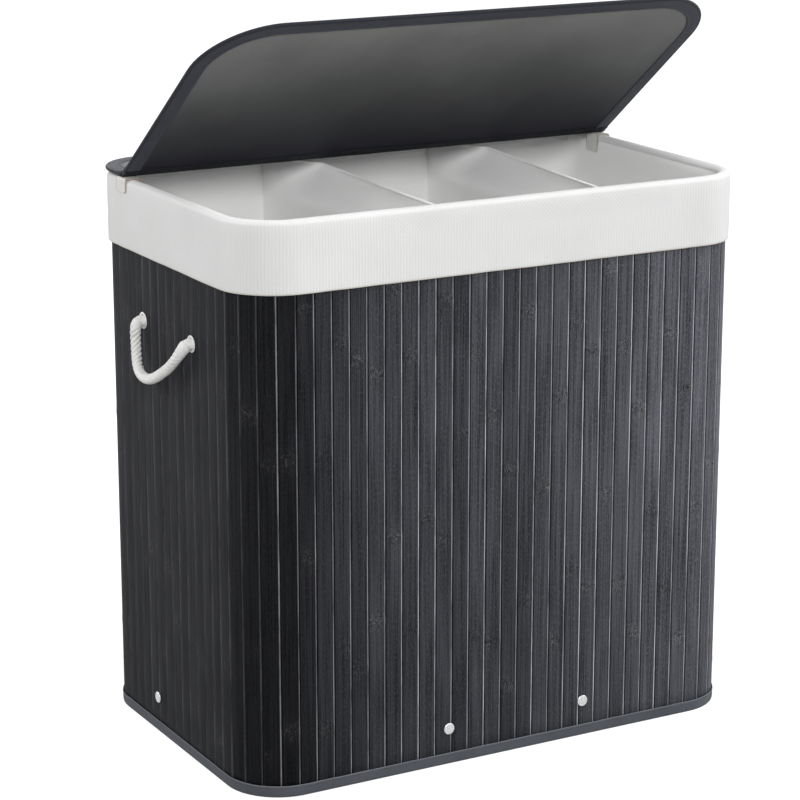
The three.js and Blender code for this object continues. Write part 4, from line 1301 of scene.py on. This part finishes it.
def panel_binding(name, panel):
    length, radius = PANELS[panel]
    line, section = edge_line(length, radius), binding_section()
    grid = np.zeros((len(line), len(section), 3))
    run = run_along(line[:, :2])
    for i, (x, away, nx, ny) in enumerate(line):
        swell = 0.00012 * math.sin(run[i] * 160) + 0.0001 * math.sin(run[i] * 61 + 1)
        for j, (inset, up, _) in enumerate(section):
            lift = (swell if up > LID_THICK / 2 else abs(swell)) * (inset > 0.003)
            grid[i, j] = lid_point(panel, x - nx * inset, away - ny * inset, up + lift)
    width = run_along(np.vstack([section, section[:1]])[:, :2])
    flat = [[(u, v) for v in width] for u in run]
    tape = grid_piece(name, grid, lid_tape, round_columns=True, caps=True, flat=flat)
    carry(tape, "painted_light_and_shade", np.tile(section[:, 2], len(line)))
    return face_outwards(tape)


def panel_seams(name, panel):
    line = edge_line(*PANELS[panel])
    inset = TAPE_WIDE - LID_SEAM_INSET
    up_way = lid_point(panel, 0, 0.1, 1.0) - lid_point(panel, 0, 0.1, 0.0)
    for label, up, sign in (("under", -LID_SEAM_OUT, -1), ("top", LID_THICK + LID_SEAM_OUT, 1)):
        points = np.array([lid_point(panel, x - nx * inset, away - ny * inset, up)
                           for x, away, nx, ny in line])
        yield stitch_row(f"{name}_{label}", points, np.tile(up_way * sign, (len(points), 1)), dark_thread,
                         pitch=0.0034, length=0.0029, radius=0.00024)


for panel in PANELS:
    body = "lid_" + panel
    lining = panel_cloth(body + "_lining_cloth", panel, LINING_UP, lining_cloth, 0.00008)
    place_on(lining, body, "lid_lining_cloth", body + "_lining")
    cover = panel_cloth(body + "_cover_cloth", panel, COVER_UP, cover_felt, 0.00025)
    place_on(cover, body, "lid_cover_cloth", body + "_cover")
    place_on(panel_binding(body + "_tape", panel), body, "binding_tape", body + "_binding")
    for row in panel_seams(body + "_seam", panel):
        place_on(row, body, "binding_tape")
print("lid panels", {k: v[0] for k, v in PANELS.items()})

# %% [markdown]
# One cloth joins the panels, glued to both. A strip on top rides over the fold in a low ridge, and the
# lining's strip below crosses the open joint. Each is a section across the fold, extended from side to
# side, and it bends over the fold from one panel to the other.

# %% Hinge cloth
def fold_strip(name, section, material, thickness, replaced):
    columns = np.linspace(-LID_HALF + 0.0004, LID_HALF - 0.0004, 90)
    grid = np.zeros((len(section), len(columns), 3))
    for i, (y, z) in enumerate(section):
        ripple_up = 0.00010 * np.sin(columns * 70 + i) + 0.00008 * np.sin(columns * 133)
        grid[i] = np.stack([columns, np.full(len(columns), y), z + ripple_up], 1)
    strip = thicken(grid_piece(name, grid, material, flat=flat_grid(columns, run_along(section))), thickness)
    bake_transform(strip)
    if replaced:
        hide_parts(replaced)
    return strip


def panel_part(panel, up, places):
    return [lid_point(panel, 0, away, up)[1:] for away in places]


RIDGE_PLACES, RIDGE_UP = (0.003, 0.0045, 0.007, 0.010, 0.0125, 0.013), LID_THICK + 0.0003
ridge = panel_part("rear", RIDGE_UP, reversed(RIDGE_PLACES))
RIDGE_CREST = ((0.0013, 0.0009), (0, 0.0013), (-0.0012, 0.0016))
ridge += [(FOLD_Y + along, FOLD_AXIS[2] + up) for along, up in RIDGE_CREST]
ridge += panel_part("front", RIDGE_UP, RIDGE_PLACES)
hinge_top = fold_strip("lid_hinge_cloth", np.array(ridge), lid_tape, 0.0006, "lid_fold")
SPINE_PLACES, SPINE_UP, SPINE_RADIUS = (0.002, 0.004, 0.007, 0.010), 0.0001, 0.0047
spine = panel_part("rear", SPINE_UP, reversed(SPINE_PLACES))
for angle in np.linspace(0.1, RAISE - 0.1, 6):
    spine.append((FOLD_Y - SPINE_RADIUS * math.sin(angle), FOLD_AXIS[2] - SPINE_RADIUS * math.cos(angle)))
spine += panel_part("front", SPINE_UP, SPINE_PLACES)
hinge_under = fold_strip("lid_hinge_lining", np.array(spine), hinge_lining_painted_shade, 0.0005, None)
print("hinge cloth", len(ridge), "and", len(spine), "rows")

# %% [markdown]
# Two pale plastic clips hold the rear strip: each is a band bent over the rim, with rounded ends, shallow
# ribs along it and a painted brownish shadow on its two long edges. A band is a path carried across its
# width, and each row narrows as the ends round off.

# %% Rim clips
clip_plastic, tree, shader = start_finish("clip_plastic", 0.38, Transmission_Weight=0.25, IOR=1.49)
object_place = in_object(tree)
flow = stretched_noise(tree, object_place, (240, 240, 40), 3.0)
streaks = stretched_noise(tree, object_place, (1500, 1500, 50), 2.0)
band = blend_colours(tree, flow, (0.80, 0.79, 0.76), (0.87, 0.865, 0.85))
# Painted shadow: the band's two long edges are painted brownish, where a thin shadow falls along them.
rim = carried(tree, "rim")
paint(tree, shader, blend_colours(tree, rim, band, (0.42, 0.37, 0.30)),
      roughness=remap(tree, streaks, 0.3, 0.7, 0.30, 0.46))
raise_surface(tree, shader, streaks, 0.00006, 0.5)

CLIP_HALF, CLIP_THICK, CLIP_ROUND = 0.012, 0.0015, 0.004
CLIP_OUT, CLIP_IN, CLIP_TOP = 0.0028, -0.01073, 0.6058
CLIP_FRONT_FOOT, CLIP_BACK_FOOT, CLIP_BEND = 0.590, 0.584, 0.0022
RIB_HEIGHT, RIBBED_SHARE, EDGE_SHADOW_SHARE = 0.00018, 0.84, 0.93


def rim_clip(name, side):
    bend = CLIP_BEND
    outer, inner, top = CLIP_OUT + CLIP_THICK / 2, CLIP_IN - CLIP_THICK / 2, CLIP_TOP - CLIP_THICK / 2
    path = [(outer, z) for z in np.linspace(CLIP_FRONT_FOOT, top - bend, 14)]
    for angle in np.linspace(0, math.pi / 2, 6)[1:]:
        path.append((outer - bend * (1 - math.cos(angle)), top - bend * (1 - math.sin(angle))))
    path += [(o, top) for o in np.linspace(CLIP_OUT - bend - 0.001, CLIP_IN + bend + 0.001, 5)]
    for angle in np.linspace(0, math.pi / 2, 6):
        path.append((inner + bend * (1 - math.sin(angle)), top - bend * (1 - math.cos(angle))))
    path += [(inner, z) for z in np.linspace(top - bend - 0.001, CLIP_BACK_FOOT, 16)]
    path = np.array(path)
    run = run_along(path)
    widths = [rounded_reach(CLIP_HALF, CLIP_ROUND, CLIP_ROUND - min(s, CLIP_ROUND))
              for s in np.minimum(run, run[-1] - run)]
    columns = np.linspace(-1, 1, 33)
    tangents = np.gradient(path, axis=0)
    tangents /= np.linalg.norm(tangents, axis=1)[:, None]
    grid = np.zeros((len(path), len(columns), 3))
    for i, ((offset, z), (to, tz)) in enumerate(zip(path, tangents)):
        for j, u in enumerate(columns):
            ribs = (0.5 + 0.5 * math.cos(u * math.pi * 6)) * (abs(u) < RIBBED_SHARE)
            rib = RIB_HEIGHT * ribs * (1 - 0.9 * abs(to))
            grid[i, j] = (side * (HALF_WIDTH + offset + tz * rib), FOLD_Y + u * widths[i], z - to * rib)
    clip = thicken(grid_piece(name, grid, clip_plastic), CLIP_THICK)
    carry(clip, "rim", np.tile(np.abs(columns) > EDGE_SHADOW_SHARE, len(path)))
    soften = clip.modifiers.new("soft_edges", "BEVEL")
    soften.width = 0.0004
    soften.segments = 2
    soften.limit_method = "ANGLE"
    return clip


for label, side in ENDS:
    place_on(rim_clip("rim_clip_band_" + label, side), "lid_rear", "clip_plastic", "rim_clip_" + label)

# %% [markdown]
# The small fittings are turned shapes: a profile swept about an axis. The eyelets are white moulded
# plastic, the press studs nickel-plated caps with a rolled rim and a shallow ring pressed into the dome.

# %% Finishes of the fittings
eyelet_plastic, tree, shader = start_finish("eyelet_plastic", 0.35, Specular_IOR_Level=0.5)
object_place = in_object(tree)
cloudy = stretched_noise(tree, object_place, 160, 3.0)
paint(tree, shader, blend_colours(tree, cloudy, (0.74, 0.735, 0.71), (0.83, 0.83, 0.81)),
      roughness=remap(tree, cloudy, 0.3, 0.7, 0.28, 0.45))
raise_surface(tree, shader, stretched_noise(tree, object_place, 700, 2.0), 0.00004, 0.5)


def metal_finish(name, low, high, smooth_value, rough_value):
    material, tree, shader = start_finish(name, 0.3, Metallic=1.0)
    object_place = in_object(tree)
    wear = stretched_noise(tree, object_place, 420, 4.0, 0.6)
    paint(tree, shader, blend_colours(tree, remap(tree, wear, 0.35, 0.65), low, high),
          roughness=remap(tree, wear, 0.35, 0.65, smooth_value, rough_value))
    raise_surface(tree, shader, wear, 0.00003, 0.5)
    return material


nickel = metal_finish("nickel_plate", (0.46, 0.46, 0.47), (0.62, 0.62, 0.63), 0.22, 0.40)
wire_steel = metal_finish("rim_wire_steel", (0.36, 0.36, 0.37), (0.56, 0.56, 0.57), 0.30, 0.50)

# %% Turned fittings
TURNED_SIDES = 48


def turned_piece(name, profile, place, outwards, material, closed=False):
    """profile is (radius, distance outwards) from the axis out, place a point on the wall's outer face."""
    outwards = Vector((*outwards, 0))
    side = Vector((-outwards.y, outwards.x, 0))
    rows = []
    for radius, out in profile:
        ring = []
        for k in range(TURNED_SIDES):
            angle = 2 * math.pi * k / TURNED_SIDES
            ring.append(Vector(place) + outwards * out + side * radius * math.cos(angle)
                        + Vector((0, 0, 1)) * radius * math.sin(angle))
        rows.append([tuple(p) for p in ring])
    piece = grid_piece(name, np.array(rows), material, round_columns=True, round_rows=closed, caps=not closed)
    return face_outwards(piece)


eyelet_profile = [
    (0.00635, -0.0055), (0.0084, -0.0055), (0.0090, -0.0050), (0.0088, -0.0044), (0.0074, -0.0043),
    (0.0074, 0.0003), (0.0088, 0.0003), (0.00905, 0.0006), (0.0090, 0.0010), (0.0086, 0.0014),
    (0.0080, 0.0016), (0.0073, 0.0015), (0.0067, 0.0011), (0.0064, 0.0004), (0.00635, -0.0030)]
for label, side in ENDS:
    for place, along in HOLES:
        node = f"rope_eyelet_{label}_{place}"
        hole = (side * HALF_WIDTH, along, HOLE_HEIGHT)
        ring = turned_piece(node + "_ring", eyelet_profile, hole, (side, 0), eyelet_plastic, closed=True)
        place_on(ring, "root", "eyelet_white", node)

stud_profile = [(0.0001, -0.0086), (0.0024, -0.0086), (0.0025, -0.0080), (0.0025, 0.0002), (0.0058, 0.0002),
                (0.00615, 0.0004), (0.0063, 0.0008), (0.0062, 0.0013), (0.0058, 0.0017), (0.0052, 0.0019),
                (0.0046, 0.0019), (0.0042, 0.0017), (0.0037, 0.0017), (0.0025, 0.0018), (0.0012, 0.0019),
                (0.0001, 0.0019)]
STUD_HEIGHT = 0.040
STUD_SIDES = {"front_1": (0, -1), "front_2": (0, -1), "back_1": (0, 1), "back_2": (0, 1), "right": (1, 0),
              "left": (-1, 0)}
for label, (x, y) in STUD_SIDES.items():
    node = "press_stud_" + label
    low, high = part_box(node)
    centre = (low + high) / 2
    spot = (x * HALF_WIDTH if x else centre.x, y * HALF_DEPTH if y else centre.y, STUD_HEIGHT)
    place_on(turned_piece(node + "_cap", stud_profile, spot, (x, y), nickel), "root", "stud_metal", node)
print("studs", sorted(STUD_SIDES))

# %% [markdown]
# The remaining solids are right as they are and only need their finish: the tape and the wire in the rim,
# the board under the bag and its four flaps, the boards in the lid, and the sockets of the studs. Their
# finishes use object coordinates, because these solids have no flat map.

# %% Finishes of the solids that stay
fibreboard, tree, shader = start_finish("grey_fibreboard", 0.85)
object_place = in_object(tree)
pulp = stretched_noise(tree, object_place, 520, 4.0, 0.65)
chips = put(tree, "TexVoronoi", {"Vector": object_place, "Scale": 380.0}).outputs["Distance"]
mixed = weighted(tree, chips, 0.4, pulp, 0.7)
paint(tree, shader, blend_colours(tree, remap(tree, mixed, 0.3, 0.7), (0.10, 0.09, 0.08), (0.24, 0.22, 0.19)))
raise_surface(tree, shader, mixed, 0.0002, 0.6)

rim_tape = thread_finish("rim_tape_webbing", 0.8, 0.1, (900, 900, 1600), (0.03, 0.031, 0.035),
                         (0.06, 0.061, 0.066), 0.0002)
kept_finishes = {"rim_binding": rim_tape, "rim_wire": wire_steel, "base_board": fibreboard}
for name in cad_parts:
    if name.startswith("base_flap_") or name.endswith("_board"):
        kept_finishes[name] = fibreboard
    if name.startswith("stud_socket_"):
        kept_finishes[name] = nickel
for name, material in kept_finishes.items():
    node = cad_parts[name]
    node.data.materials.clear()
    node.data.materials.append(material)
print("solids kept", len(kept_finishes))
